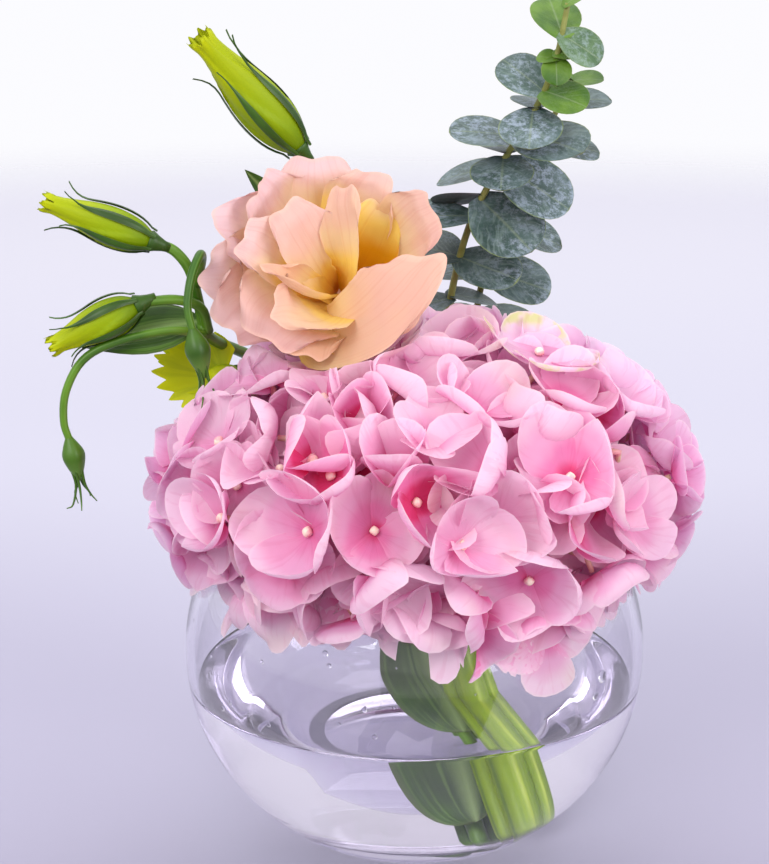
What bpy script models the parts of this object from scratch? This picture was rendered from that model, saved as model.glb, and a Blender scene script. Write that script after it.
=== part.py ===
"""Floral table centrepiece: a pink hydrangea head, a peach lisianthus spray and two eucalyptus sprigs
standing in a clear glass bubble bowl of water.

Lengths below are in millimetres and are turned into metres as each mesh is made. The origin is the
middle of the bowl's flat base, +Z is up, and the arrangement's front faces -Y.
"""

import math
import random

import bmesh
import bpy
from mathutils import Matrix, Vector
from mathutils.bvhtree import BVHTree

MM = 0.001
GAP = 0.3  # between pieces that touch
BLADE = 0.7  # thickness of leaves and petals
GOLDEN_ANGLE = math.radians(137.50776)

# ---- bowl and water
BOWL_RADIUS = 70.0
BELLY_HEIGHT = 56.0
BELLY_SEMI_HEIGHT = 66.0
RIM_HEIGHT = 100.0
WALL = 2.6
BASE_RADIUS = 34.0
BASE_EDGE_HEIGHT = 2.0
FLOOR_HEIGHT = 6.0
FLOOR_RADIUS = 40.0
WATER_LEVEL = 46.0
BOWL_SIDES = 36
BOWL_WALL_STATIONS = 8

# ---- hydrangea
HEAD_CENTRE = Vector((2.0, -14.0, 113.0))
CORE_SIDE, CORE_FRONT, CORE_BACK, CORE_UP = 62.0, 52.0, 35.0, 31.0
CORE_UNDERSIDE = RIM_HEIGHT + GAP + 0.2
# semi-axes of the egg that the florets' centres lie on, and of the one that holds all of their petals
CENTRES = {"side": 73.0, "front": 62.0, "back": 42.0, "up": 40.0, "down": 30.0}
HULL = {"side": 86.0, "front": 78.0, "back": 56.0, "up": 56.0, "down": 44.0}
HEAD_SEED = 31
FLORET_COUNT = 50
FLORET_RADIUS = 27.0
FLORET_LEAN = 0.5
FLORET_TRIES = 40
LOWEST_FLORET = -0.80  # sine of the lowest floret's elevation about the head's centre
STALK_LENGTH = 20.0
PIECE_CLEARANCE = 0.7  # of a petal's corners from other pieces
PETAL_CLEARANCE = 2.8  # from the bowl's wall
RIM_CLEARANCE = 8.8  # of a petal's corners from the middle of the rim
HYDRANGEA_STEM_RADIUS = 4.6

# ---- lisianthus
BLOOM_BASE = Vector((-23.5, 15.0, 162.0))
BLOOM_AXIS = Vector((-0.05, -0.80, 0.60)).normalized()
BLOOM_BED = (Vector((-26.0, -22.0, 186.0)), Vector((40.0, 48.0, 36.0)))  # centre and semi-axes
OPENING_BUD_BED = (Vector((-67.0, 0.0, 143.0)), Vector((18.0, 17.0, 17.0)))
HEART_AXIS = Vector((-0.20, -0.80, 0.48)).normalized()
# of each petal: azimuth about its axis (0 is up and 90 the left), length, half-width, lean at the foot and at
# the lip, flatness and ruffle
HEART_PETALS = [
    (20, 34, 14, 28, -10, 0.8, 0.6), (140, 33, 14, 28, -12, 0.8, 0.6), (262, 35, 14, 28, -8, 0.8, 0.6),
]
MIDDLE_PETALS = [
    (30, 39, 16, 52, 20, 1.1, 2.0), (100, 38, 15, 48, 10, 1.1, 2.0), (172, 38, 17, 50, 16, 1.2, 1.8),
    (238, 38, 16, 54, 26, 1.3, 1.4), (318, 37, 15, 54, 26, 1.3, 1.6),
]
OUTER_PETALS = [
    (14, 41, 18, 66, 42, 1.2, 2.4), (62, 40, 18, 69, 46, 1.3, 2.6), (108, 40, 18, 72, 50, 1.3, 3.0),
    (158, 40, 18, 72, 50, 1.3, 2.6), (210, 38, 18, 70, 44, 1.3, 1.8), (262, 37, 21, 70, 42, 1.5, 0.8),
    (318, 34, 15, 62, 36, 1.2, 1.8),
]
MAIN_STEM_RADIUS = 2.4
TWIG_RADIUS = 1.3

# ---- eucalyptus
EUCALYPTUS_STEM_RADIUS = 1.5
LEAF_BREADTH = 0.92  # of its length
# of each leaf: height of its node, azimuth (-90 faces the front), rise, roll towards the front, length
LEFT_SPRIG_LEAVES = [
    (154, 200, -5, 10, 17), (155, 25, -8, 10, 17),
    (168, 152, 10, 22, 22), (168, -30, -12, 25, 22),
    (181, 180, 3, 12, 25), (182, 8, -14, 20, 24),
    (187, -40, -32, 30, 25), (188, 130, -14, -12, 20),
    (197, 158, -12, 14, 21), (198, -15, -28, 30, 26),
    (200, -95, -15, 0, 21), (202, 95, 5, 0, 18),
    (207, 186, 8, 18, 22), (208, -40, -5, 20, 25),
    (215, -97, -22, 0, 21), (216, 85, 8, 0, 17),
    (221, 150, 35, 30, 18), (221, -32, -10, 30, 16),
    (238, -12, -28, 40, 15), (238, 105, 42, 0, 14),
]
LEFT_SPRIG_TIP = [(231, -88, -45, 0, 10), (231, 178, 10, 30, 7), (232, -2, 10, 30, 7), (247, 15, 40, 20, 7)]
RIGHT_SPRIG_LEAVES = [
    (145, -8, -10, 22, 22), (146, 170, -4, 12, 18),
    (160, 100, 0, 0, 18), (161, -70, -25, 0, 14),
    (176, 5, -18, 20, 22), (177, 150, 6, 5, 18),
    (190, 90, 6, 0, 18), (191, -35, -15, 20, 15),
    (202, 0, -8, 18, 20), (203, 160, 15, 0, 14),
    (213, 70, 12, 0, 15), (214, 12, 8, 14, 18),
]
RIGHT_SPRIG_TIP = [(221, -15, 12, 18, 12), (222, 165, 40, 0, 8)]

# ---- routes of the stems, from the cut end in the water upwards
HYDRANGEA_STEM = [(31, -26, 11), (24, -21, 28), (17, -17, 48), (11, -14, 70), (7.5, -13, 88), (7, -13, 100.1)]
MAIN_STEM = [(19, -14, 10), (11, -4, 30), (1, 10, 55), (-11, 25, 80), (-20, 36, 100), (-27, 43, 118),
             (-31, 45, 138), (-29, 36, 151), (-25, 20, 159)]
SIDE_BRANCH = [(-28, 44, 124), (-40, 37, 132), (-52, 20, 143), (-60, 4, 151), (-63, -3, 157)]
TOP_BUD_STEM = [(-31, 45, 134), (-36, 46, 158), (-36, 42, 182), (-34, 32, 198), (-33.5, 22, 204.8),
                (-33.2, 11, 206.1)]
LEFT_BUD_STEM = [(-62, -1, 154), (-64, -2, 165), (-66, -4, 174), (-70, -5, 179.7), (-74.7, -5.8, 182.1)]
LOW_BUD_STEM = [(-61, -2, 155), (-63, -5, 163), (-70, -8, 166), (-78.7, -8.7, 165.5)]
DROOPING_STEM = [(-61, -2, 154), (-72, -9, 157), (-88, -12, 154), (-97, -13, 149), (-102, -14, 140),
                 (-103, -14, 131), (-101.5, -14, 125)]
HANGING_STEM = [(-64.5, -2, 168), (-62, -9, 178), (-62, -17, 181), (-64, -23, 176), (-65, -26, 168),
                (-63.5, -27, 161)]
OPENING_BUD_STEM = [(-44, 31, 135), (-49, 22, 138), (-54.2, 11.0, 140.2)]
LEFT_SPRIG = [(23, -6, 10), (19, 7, 32), (15, 20, 60), (12, 33, 90), (10, 42, 112), (10, 45, 135),
              (12, 41, 158), (18, 36, 182), (28, 31, 202), (37, 28, 218), (42, 26, 232), (45, 25, 248)]
RIGHT_SPRIG = [(36, -6, 10), (34, 6, 32), (30, 20, 60), (24, 35, 90), (22, 47, 112), (20, 55, 135),
               (21, 55, 153), (27, 53, 175), (37, 51, 197), (48, 47, 222)]


# ---- small tools

def smooth_route(points, steps):
    """Points along a Catmull-Rom curve through the given points, with so many steps between neighbours."""
    ends = [Vector(p) for p in points]
    ends = [2 * ends[0] - ends[1]] + ends + [2 * ends[-1] - ends[-2]]
    route = []
    for a, b, c, d in zip(ends, ends[1:], ends[2:], ends[3:]):
        for step in range(steps):
            t = step / steps
            route.append(0.5 * (2 * b + (c - a) * t + (2 * a - 5 * b + 4 * c - d) * t**2
                                + (3 * b - a - 3 * c + d) * t**3))
    return route + [ends[-2]]


def frame_along(direction, towards=Vector((0, 0, 1))):
    """A rotation whose Z is the direction and whose X leans towards the second vector."""
    z = direction.normalized()
    x = towards - towards.dot(z) * z
    if x.length < 1e-4:
        x = z.orthogonal()
    x.normalize()
    return Matrix((x, z.cross(x), z)).transposed()


def material(name, colour, roughness, transmission=0.0):
    made = bpy.data.materials.new(name)
    made.use_nodes = True
    shader = made.node_tree.nodes["Principled BSDF"]
    shader.inputs["Base Color"].default_value = (*colour, 1.0)
    shader.inputs["Roughness"].default_value = roughness
    shader.inputs["Metallic"].default_value = 0.0
    shader.inputs["Transmission Weight"].default_value = transmission
    return made


def solid(name, points, faces):
    """A mesh object in metres from points in millimetres, with its faces turned outwards."""
    mesh = bpy.data.meshes.new(name)
    mesh.from_pydata([Vector(p) * MM for p in points], [], faces)
    shape = bmesh.new()
    shape.from_mesh(mesh)
    bmesh.ops.recalc_face_normals(shape, faces=shape.faces)
    bmesh.ops.triangulate(shape, faces=shape.faces)
    shape.to_mesh(mesh)
    shape.free()
    made = bpy.data.objects.new(name, mesh)
    bpy.context.scene.collection.objects.link(made)
    return made


def lathe(name, profile, sides):
    """Turns a profile of (radius, height) about Z. Its first and last points lie on the axis."""
    points = [(0, 0, profile[0][1])]
    for radius, height in profile[1:-1]:
        for side in range(sides):
            turn = math.tau * side / sides
            points.append((radius * math.cos(turn), radius * math.sin(turn), height))
    points.append((0, 0, profile[-1][1]))
    last = len(points) - 1
    rings = len(profile) - 2
    faces = []
    for side in range(sides):
        following = (side + 1) % sides
        faces.append((0, 1 + following, 1 + side))
        for ring in range(rings - 1):
            low, high = 1 + ring * sides, 1 + (ring + 1) * sides
            faces.append((low + side, low + following, high + following, high + side))
        top = 1 + (rings - 1) * sides
        faces.append((top + side, top + following, last))
    return solid(name, points, faces)


def tube(name, route, radii, sides=6, grow=0.0):
    """A closed tube along a route, with a radius for each point. It can be grown, for a hole."""
    points, faces = [], []
    route = list(route)
    route[0] = route[0] - (route[1] - route[0]).normalized() * grow
    route[-1] = route[-1] + (route[-1] - route[-2]).normalized() * grow
    across = frame_along(route[1] - route[0]).col[0].copy()
    for i, place in enumerate(route):
        along = (route[min(i + 1, len(route) - 1)] - route[max(i - 1, 0)]).normalized()
        across = (across - across.dot(along) * along).normalized()
        other = along.cross(across)
        for side in range(sides):
            turn = math.tau * side / sides
            points.append(place + (radii[i] + grow) * (math.cos(turn) * across + math.sin(turn) * other))
    for i in range(len(route) - 1):
        for side in range(sides):
            following = (side + 1) % sides
            faces.append((i * sides + side, i * sides + following,
                          (i + 1) * sides + following, (i + 1) * sides + side))
    faces.append(tuple(range(sides)))
    faces.append(tuple((len(route) - 1) * sides + side for side in range(sides)))
    return solid(name, points, faces)


def tapered(start, end, count):
    return [start + (end - start) * i / (count - 1) for i in range(count)]


def strip(a, near, b, far):
    """Triangles between one row of points, numbered from a, and the next, numbered from b."""
    triangles = []
    i = j = 0
    while i < near - 1 or j < far - 1:
        if j == far - 1 or (i < near - 1 and (i + 1) / (near - 1) <= (j + 1) / (far - 1)):
            triangles.append((a + i, a + i + 1, b + j))
            i += 1
        else:
            triangles.append((a + i, b + j + 1, b + j))
            j += 1
    return triangles


def blade(name, rows, thickness=BLADE):
    """A closed leaf or petal about a middle surface: rows of points, of which the end ones may be single."""
    starts, flat = [], []
    for row in rows:
        starts.append(len(flat))
        flat += row
    triangles = []
    for i in range(len(rows) - 1):
        a, b = starts[i], starts[i + 1]
        near, far = len(rows[i]), len(rows[i + 1])
        if near == 1:
            triangles += [(a, b + k + 1, b + k) for k in range(far - 1)]
        elif far == 1:
            triangles += [(a + k, a + k + 1, b) for k in range(near - 1)]
        else:
            triangles += strip(a, near, b, far)
    normals = [Vector() for _ in flat]
    for t in triangles:
        normal = (flat[t[1]] - flat[t[0]]).cross(flat[t[2]] - flat[t[0]])
        for corner in t:
            normals[corner] += normal
    normals = [normal.normalized() for normal in normals]
    count = len(flat)
    points = [p + n * thickness / 2 for p, n in zip(flat, normals)]
    points += [p - n * thickness / 2 for p, n in zip(flat, normals)]
    left = [starts[i] for i in range(len(rows))]
    right = [starts[i] + len(rows[i]) - 1 for i in range(len(rows))]
    border = list(range(starts[0], starts[0] + len(rows[0]))) + right[1:]
    border += list(range(starts[-1] + len(rows[-1]) - 2, starts[-1] - 1, -1)) + left[-2:0:-1]
    faces = list(triangles) + [(c + count, b + count, a + count) for a, b, c in triangles]
    for a, b in zip(border, border[1:] + border[:1]):
        faces.append((a, b, b + count, a + count))
    return solid(name, points, faces)


def fuse(name, pieces):
    """Joins closed pieces into one solid with one Boolean union. Sealed hollows are filled."""
    body = pieces[0]
    group = bpy.data.collections.new(name + "_pieces")
    bpy.context.scene.collection.children.link(group)
    for piece in pieces[1:]:
        bpy.context.scene.collection.objects.unlink(piece)
        group.objects.link(piece)
    union = body.modifiers.new("union", "BOOLEAN")
    union.operation = "UNION"
    union.operand_type = "COLLECTION"
    union.collection = group
    union.solver = "MANIFOLD"
    apply_modifiers(body)
    for piece in pieces[1:]:
        bpy.data.objects.remove(piece)
    bpy.data.collections.remove(group)
    keep_outer_shell(body.data)
    body.name = name
    return body


def cut(body, cutters):
    """Subtracts closed cutters from a body and removes them."""
    for cutter in cutters:
        hole = body.modifiers.new("hole", "BOOLEAN")
        hole.operation = "DIFFERENCE"
        hole.object = cutter
        hole.solver = "MANIFOLD"
    apply_modifiers(body)
    for cutter in cutters:
        bpy.data.objects.remove(cutter)
    keep_outer_shell(body.data)


def apply_modifiers(body):
    graph = bpy.context.evaluated_depsgraph_get()
    mesh = bpy.data.meshes.new_from_object(body.evaluated_get(graph))
    body.modifiers.clear()
    body.data = mesh


def keep_outer_shell(mesh):
    """Keeps the shell that holds the most volume and deletes the others."""
    shape = bmesh.new()
    shape.from_mesh(mesh)
    unseen = set(shape.verts)
    shells = []
    while unseen:
        front = [unseen.pop()]
        shell = set(front)
        while front:
            for edge in front.pop().link_edges:
                for vertex in edge.verts:
                    if vertex not in shell:
                        shell.add(vertex)
                        front.append(vertex)
        unseen -= shell
        faces = {face for vertex in shell for face in vertex.link_faces}
        volume = sum(face.calc_area() * face.normal.dot(face.verts[0].co) for face in faces)
        shells.append((volume, len(shells), shell))
    shells.sort(key=lambda found: found[:2], reverse=True)
    for _, _, shell in shells[1:]:
        bmesh.ops.delete(shape, geom=list(shell), context="VERTS")
    shape.to_mesh(mesh)
    shape.free()


def finish(body, name, look, smooth_angle=35.0):
    body.name = name
    body.data.name = name
    body.data.materials.clear()
    body.data.materials.append(look)
    body.data.shade_smooth()
    body.data.set_sharp_from_angle(angle=math.radians(smooth_angle))


# ---- bowl and water

def bowl_radius(height):
    """Outer radius of the bowl's wall at a height."""
    return BOWL_RADIUS * math.sqrt(1 - ((height - BELLY_HEIGHT) / BELLY_SEMI_HEIGHT) ** 2)


def wall_heights(low, high):
    return [low + (high - low) * i / (BOWL_WALL_STATIONS - 1) for i in range(BOWL_WALL_STATIONS)]


def inner_profile():
    """The inside of the bowl, from the middle of its floor up to the rim, as (radius, height)."""
    heights = wall_heights(FLOOR_HEIGHT + 5, RIM_HEIGHT - 1)
    return [(0, FLOOR_HEIGHT), (FLOOR_RADIUS, FLOOR_HEIGHT)] + [(bowl_radius(z) - WALL, z) for z in heights]


def outer_profile():
    """The outside of the bowl, from the middle of its base up to the rim, as (radius, height)."""
    heights = wall_heights(BASE_EDGE_HEIGHT, RIM_HEIGHT - 1)
    return [(0, 0), (BASE_RADIUS, 0)] + [(bowl_radius(z), z) for z in heights]


def make_bowl(look):
    rim = [(bowl_radius(RIM_HEIGHT) - WALL / 2, RIM_HEIGHT)]
    finish(lathe("glass_bowl", outer_profile() + rim + inner_profile()[::-1], BOWL_SIDES), "glass_bowl", look)


def inset(profile, distance):
    """A profile moved inwards and upwards, off the surface that it follows."""
    moved = []
    for i, (radius, height) in enumerate(profile):
        before, after = profile[max(i - 1, 0)], profile[min(i + 1, len(profile) - 1)]
        run, rise = after[0] - before[0], after[1] - before[1]
        length = math.hypot(run, rise)
        moved.append((max(0, radius - distance * rise / length), height + distance * run / length))
    return moved


def make_water(look, cutters):
    """Its side follows the flats of the bowl's inner wall, so that the gap between them stays even."""
    wall = inset(inner_profile(), GAP * 1.2)
    below = [place for place in wall if place[1] < WATER_LEVEL]
    above = wall[len(below)]
    share = (WATER_LEVEL - below[-1][1]) / (above[1] - below[-1][1])
    surface_radius = below[-1][0] + (above[0] - below[-1][0]) * share
    water = lathe("water", below + [(surface_radius, WATER_LEVEL), (0, WATER_LEVEL)], BOWL_SIDES)
    cut(water, cutters)
    finish(water, "water", look)


# ---- what the florets bend clear of

def egg_reach(direction, side, front, back, up, down):
    """How far an egg-shaped surface lies from its centre in a direction."""
    depth = front if direction.y < 0 else back
    rise = up if direction.z > 0 else down
    return 1 / math.sqrt((direction.x / side) ** 2 + (direction.y / depth) ** 2 + (direction.z / rise) ** 2)


def clear_of_bowl(place):
    """The place, moved up or out so that it hangs over the rim and down the outside of the bowl."""
    radius = math.hypot(place.x, place.y)
    rim_middle, shoulder = bowl_radius(RIM_HEIGHT) - WALL / 2, RIM_HEIGHT - 3
    if radius < rim_middle:
        lift = math.sqrt(max(0, RIM_CLEARANCE**2 - (rim_middle - radius) ** 2))
        return Vector((place.x, place.y, max(place.z, shoulder + lift, RIM_HEIGHT + 2)))
    if place.z > shoulder:
        away = Vector((radius - rim_middle, place.z - shoulder))
        if away.length >= RIM_CLEARANCE:
            return place
        away = away.normalized() * RIM_CLEARANCE
        goal, height = rim_middle + away.x, shoulder + away.y
    else:
        goal, height = max(radius, bowl_radius(place.z) + PETAL_CLEARANCE), place.z
    return Vector((place.x * goal / radius, place.y * goal / radius, height))


def bent_clear(place, beds):
    """The place, kept inside the head's hull and moved clear of the bowl and out of each bed, an ellipsoid that
    another piece fills."""
    reach = place - HEAD_CENTRE
    limit = egg_reach(reach.normalized(), **HULL)
    if reach.length > limit:
        place = HEAD_CENTRE + reach.normalized() * limit
    place = clear_of_bowl(place)
    for centre, semi_axes in beds:
        away = Vector([(p - c) / s for p, c, s in zip(place, centre, semi_axes)])
        if away.length < 1:
            away.normalize()
            place = Vector([c + a * s for a, c, s in zip(away, centre, semi_axes)])
    return place


def beds_along(route, radius):
    return [(place, Vector((radius, radius, radius))) for place in smooth_route(route, 3)]


def tree_of(body):
    """A search tree of a body's faces, in millimetres, for finding what crosses it."""
    points = [vertex.co / MM for vertex in body.data.vertices]
    return BVHTree.FromPolygons(points, [tuple(face.vertices) for face in body.data.polygons])


# ---- hydrangea

def floret_shape(centre, outward, spin, radius, cup, beds):
    """Points and faces of four rounded sepals about a centre, with a thin stalk that runs down into the head."""
    turn = frame_along(outward, Vector((math.cos(spin), math.sin(spin), 0.3)))

    def at(reach, angle, lift):
        flat = Vector((math.cos(angle) * reach, math.sin(angle) * reach, lift))
        return bent_clear(centre + turn @ flat, beds)

    top, triangles = [centre], []
    for lobe in range(4):
        middle = math.tau * lobe / 4
        size = radius * (1.06 if lobe % 2 else 0.94)
        rise = cup * (1.2 if lobe % 2 else 0.8)
        first = 1 + 5 * lobe
        following = 1 + 5 * ((lobe + 1) % 4)
        top += [
            at(size * 0.13, middle - math.pi / 4, 0.5),
            at(size * 0.72, middle - 0.70, rise * 0.45),
            at(size * 1.02, middle - 0.30, rise),
            at(size * 1.02, middle + 0.30, rise),
            at(size * 0.72, middle + 0.70, rise * 0.45),
        ]
        triangles += [(0, first, following), (first, first + 1, first + 4), (first, first + 4, following),
                      (first + 1, first + 2, first + 3), (first + 1, first + 3, first + 4)]
    normals = [Vector() for _ in top]
    for t in triangles:
        normal = (top[t[1]] - top[t[0]]).cross(top[t[2]] - top[t[0]])
        for corner in t:
            normals[corner] += normal
    count = len(top)
    under = [p - n.normalized() * BLADE for p, n in zip(top, normals)]
    under[0] = centre - outward * STALK_LENGTH
    faces = triangles + [(c + count, b + count, a + count) for a, b, c in triangles]
    for a in range(1, count):
        b = a + 1 if a + 1 < count else 1
        faces.append((a, b, b + count, a + count))
    return top + under, faces


def make_core():
    """The dense middle that the florets' stalks run into: a dome with a flat underside just above the rim."""
    rows, sides = 4, 16
    points, faces = [], []
    for row in range(rows):
        lift = math.sin(math.pi / 2 * row / rows)
        spread = math.sqrt(1 - lift**2)
        for side in range(sides):
            turn = math.tau * side / sides
            depth = CORE_FRONT if math.sin(turn) < 0 else CORE_BACK
            points.append(HEAD_CENTRE + Vector((
                CORE_SIDE * spread * math.cos(turn), depth * spread * math.sin(turn), CORE_UP * lift)))
    points.append(HEAD_CENTRE + Vector((0, 0, CORE_UP)))
    peak = len(points) - 1
    for side in range(sides):
        edge = HEAD_CENTRE.lerp(points[side], 0.82)
        points.append(Vector((edge.x, edge.y, CORE_UNDERSIDE)))
    for side in range(sides):
        following = (side + 1) % sides
        for row in range(rows - 1):
            low, high = row * sides, (row + 1) * sides
            faces.append((low + side, low + following, high + following, high + side))
        faces.append(((rows - 1) * sides + side, (rows - 1) * sides + following, peak))
        faces.append((side, following, peak + 1 + following, peak + 1 + side))
    faces.append(tuple(peak + 1 + side for side in range(sides)))
    return solid("core", points, faces)


def make_head(look, beds, neighbours):
    """Each floret takes the pose, of a few tries, that crosses the florets beside it least, and is left out
    where every pose would cross another piece."""
    rng = random.Random(HEAD_SEED)
    pieces, placed = [make_core()], []
    for index in range(FLORET_COUNT):
        height = 1 - (1 - LOWEST_FLORET) * (index + 0.5) / FLORET_COUNT
        spread = math.sqrt(1 - height**2)
        turn = GOLDEN_ANGLE * index
        direction = Vector((spread * math.cos(turn), spread * math.sin(turn), height))
        surface = HEAD_CENTRE + direction * egg_reach(direction, **CENTRES)
        best = None
        for _ in range(FLORET_TRIES):
            lean = Vector([rng.uniform(-FLORET_LEAN, FLORET_LEAN) for _ in range(3)])
            centre = bent_clear(surface + direction * rng.uniform(-7, 4), beds)
            spin, cup = rng.uniform(0, math.tau), rng.uniform(3, 10)
            radius = FLORET_RADIUS * rng.uniform(0.88, 1.08)
            points, faces = floret_shape(centre, (direction + lean).normalized(), spin, radius, cup, beds)
            tree = BVHTree.FromPolygons(points, faces)
            if any(tree.overlap(other) for other in neighbours):
                continue
            if any(other.find_nearest(point, PIECE_CLEARANCE)[0] for other in neighbours for point in points):
                continue
            crossings = sum(len(tree.overlap(other)) for other in placed)
            if best is None or crossings < best[0]:
                best = (crossings, points, faces, tree)
        if best:
            pieces.append(solid(f"floret_{index}", best[1], best[2]))
            placed.append(best[3])
    finish(fuse("hydrangea_head", pieces), "hydrangea_head", look)


# ---- stems and leaves

def stem(name, points, start, end, sides=6, steps=2, grow=0.0):
    """A tapering stem along a smooth route."""
    route = smooth_route(points, steps)
    return tube(name, route, tapered(start, end, len(route)), sides, grow)


ROUND_LEAF = [(0, 0), (0.22, 0.80), (0.62, 1.0), (1, 0.42)]
SLIM_LEAF = [(0, 0), (0.35, 1.0), (1, 0)]
POINTED_LEAF = [(0, 0), (0.2, 0.72), (0.48, 1.0), (0.76, 0.66), (1, 0)]


def leaf(name, base, direction, normal, length, width, outline, sag=0.0, fold=0.0, thickness=BLADE):
    """A leaf with a folded middle. The outline holds how far along each row lies and its share of the width."""
    direction = direction.normalized()
    normal = (normal - normal.dot(direction) * direction).normalized()
    side = direction.cross(normal)
    rows = []
    for along, share in outline:
        middle = base + direction * length * along - normal * sag * along**2
        half = side * width / 2 * share
        raised = normal * fold * share
        rows.append([middle - half + raised, middle, middle + half + raised] if share else [middle])
    return blade(name, rows, thickness)


def facing(azimuth, rise, roll):
    """A leaf's direction and the normal of its upper side, from angles in degrees."""
    azimuth, rise, roll = (math.radians(angle) for angle in (azimuth, rise, roll))
    level = math.cos(rise)
    direction = Vector((math.cos(azimuth) * level, math.sin(azimuth) * level, math.sin(rise)))
    upper = Vector((0, 0, 1)) - direction * direction.z
    return direction, Matrix.Rotation(roll if direction.x > 0 else -roll, 3, direction) @ upper


def point_at_height(route, height):
    for low, high in zip(route, route[1:]):
        if low.z <= height <= high.z:
            return low.lerp(high, (height - low.z) / (high.z - low.z))
    return route[-1]


def make_sprig(name, look, points, leaves):
    route = smooth_route(points, 3)
    pieces = [stem("stalk", points, EUCALYPTUS_STEM_RADIUS, EUCALYPTUS_STEM_RADIUS * 0.6, 5)]
    for index, (height, azimuth, rise, roll, length) in enumerate(leaves):
        direction, upper = facing(azimuth, rise, roll)
        base = point_at_height(route, height)
        pieces.append(leaf(f"leaf_{index}", base, direction, upper, length, length * LEAF_BREADTH, ROUND_LEAF,
                           sag=1.5, fold=0.8))
    finish(fuse(name, pieces), name, look)


# ---- lisianthus

BUD_PROFILE = [(0, 0.5), (0.22, 0.94), (0.38, 1.0), (0.56, 0.86), (0.75, 0.58), (0.9, 0.44), (1, 0.5)]


def bud(name, look, base, tip, radius):
    """A furled bud: a spindle with a slightly flared, ragged mouth."""
    base, tip = Vector(base), Vector(tip)
    start = base + (tip - base).normalized() * GAP
    route = [start.lerp(tip, along) for along, _ in BUD_PROFILE]
    body = tube(name, route, [radius * share for _, share in BUD_PROFILE], 8)
    sides = 8
    for index in range(0, sides, 2):
        tooth = (tip - base).normalized() * radius * 0.35 * MM
        body.data.vertices[(len(route) - 1) * sides + index].co += tooth
    finish(body, name, look)


def calyx(base, tip, radius, reach=0.82, count=5, curl=3.0):
    """Slim sepals that stand off a bud's sides and whose tips curl free, about a small cup on the stem."""
    base, tip = Vector(base), Vector(tip)
    axis = (tip - base).normalized()
    turn = frame_along(axis)
    length = (tip - base).length
    pieces = [tube("cup", [base - axis * 5, base], [TWIG_RADIUS, 3.0], 6)]
    for index in range(count):
        spin = math.tau * (index + 0.3) / count
        rows = []
        outline = [(-0.03, 2.0, 0), (-0.01, radius * 0.5 + 1.0, 1.3), (0.3, radius + 1.1, 1.3),
                   (0.6, radius * 0.82 + 1.3, 0.9), (reach, radius * 0.6 + curl, 0)]
        for along, out, half in outline:
            place = base + axis * length * along
            radial = turn @ Vector((math.cos(spin), math.sin(spin), 0))
            side = turn @ Vector((-math.sin(spin), math.cos(spin), 0))
            if half:
                rows.append([place + radial * out - side * half, place + radial * out + side * half])
            else:
                rows.append([place + radial * out])
        pieces.append(blade(f"sepal_{index}", rows))
    return pieces


def bloom_sepals():
    """Slim sepals spread behind the bloom, about the end of its stem."""
    turn = frame_along(BLOOM_AXIS)
    end = BLOOM_BASE - BLOOM_AXIS * (2 + GAP)
    pieces = [tube("cup", [end - BLOOM_AXIS * 6, end], [1.9, 3.4], 6)]
    for index in range(5):
        spin = math.tau * (index + 0.5) / 5
        radial = turn @ Vector((math.cos(spin), math.sin(spin), 0))
        foot = end - BLOOM_AXIS * 1.6 + radial * 1.8
        pieces.append(leaf("sepal", foot, radial - BLOOM_AXIS * 0.15, BLOOM_AXIS, 17, 4.5, SLIM_LEAF))
    return pieces


def green_bud(base, end, radius):
    """A young bud still closed in its calyx, with a pair of long free tips."""
    base, end = Vector(base), Vector(end)
    axis = (end - base).normalized()
    route = [base - axis * 2] + [base.lerp(end, along) for along in (0.2, 0.5, 0.8, 1.1)]
    pieces = [tube("young_bud", route, [TWIG_RADIUS, radius * 0.9, radius, radius * 0.6, 0.6], 6)]
    turn = frame_along(axis)
    for spin in (0.4, 2.6, 4.6):
        radial = turn @ Vector((math.cos(spin), math.sin(spin), 0))
        points = [end - axis * 5 + radial * radius * 0.6, end + axis * 2 + radial * radius * 0.5,
                  end + axis * 8 + radial * radius * 1.6]
        pieces.append(tube("free_tip", points, [0.7, 0.6, 0.4], 4))
    return pieces


def petal_rows(axis, azimuth, length, half_width, foot, lip, flatness, ruffle, phase):
    """The middle surface of a petal, which curls about an axis. It leaves the base at one lean from the axis and
    ends at another, and one of its edges lies a little farther out, over its neighbour's."""
    turn = frame_along(axis)
    foot, lip, azimuth = math.radians(foot), math.radians(lip), math.radians(azimuth)
    rows = [[BLOOM_BASE + turn @ Vector((math.cos(azimuth), math.sin(azimuth), 0))]]
    for along, share in ((0.3, 0.42), (0.72, 1.0), (1.0, 0.72)):
        lean = foot + (lip - foot) * along
        out = 2 + length * (math.cos(foot) - math.cos(lean)) / (lip - foot)
        up = length * (math.sin(lean) - math.sin(foot)) / (lip - foot)
        curve = out * flatness + 4
        row = []
        for across in (-1, -0.5, 0, 0.5, 1):
            around = across * half_width * share / curve
            wave = ruffle * along**2 * math.sin(3.1 * across + phase)
            radial = out - curve * (1 - math.cos(around)) + across * (0.8 + along) + wave * math.cos(lean)
            spread = Vector((radial, curve * math.sin(around)))
            row.append(BLOOM_BASE + axis * (up - wave * math.sin(lean)) + turn @ Vector((
                spread.x * math.cos(azimuth) - spread.y * math.sin(azimuth),
                spread.x * math.sin(azimuth) + spread.y * math.cos(azimuth),
                0)))
        rows.append(row)
    return rows


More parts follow.
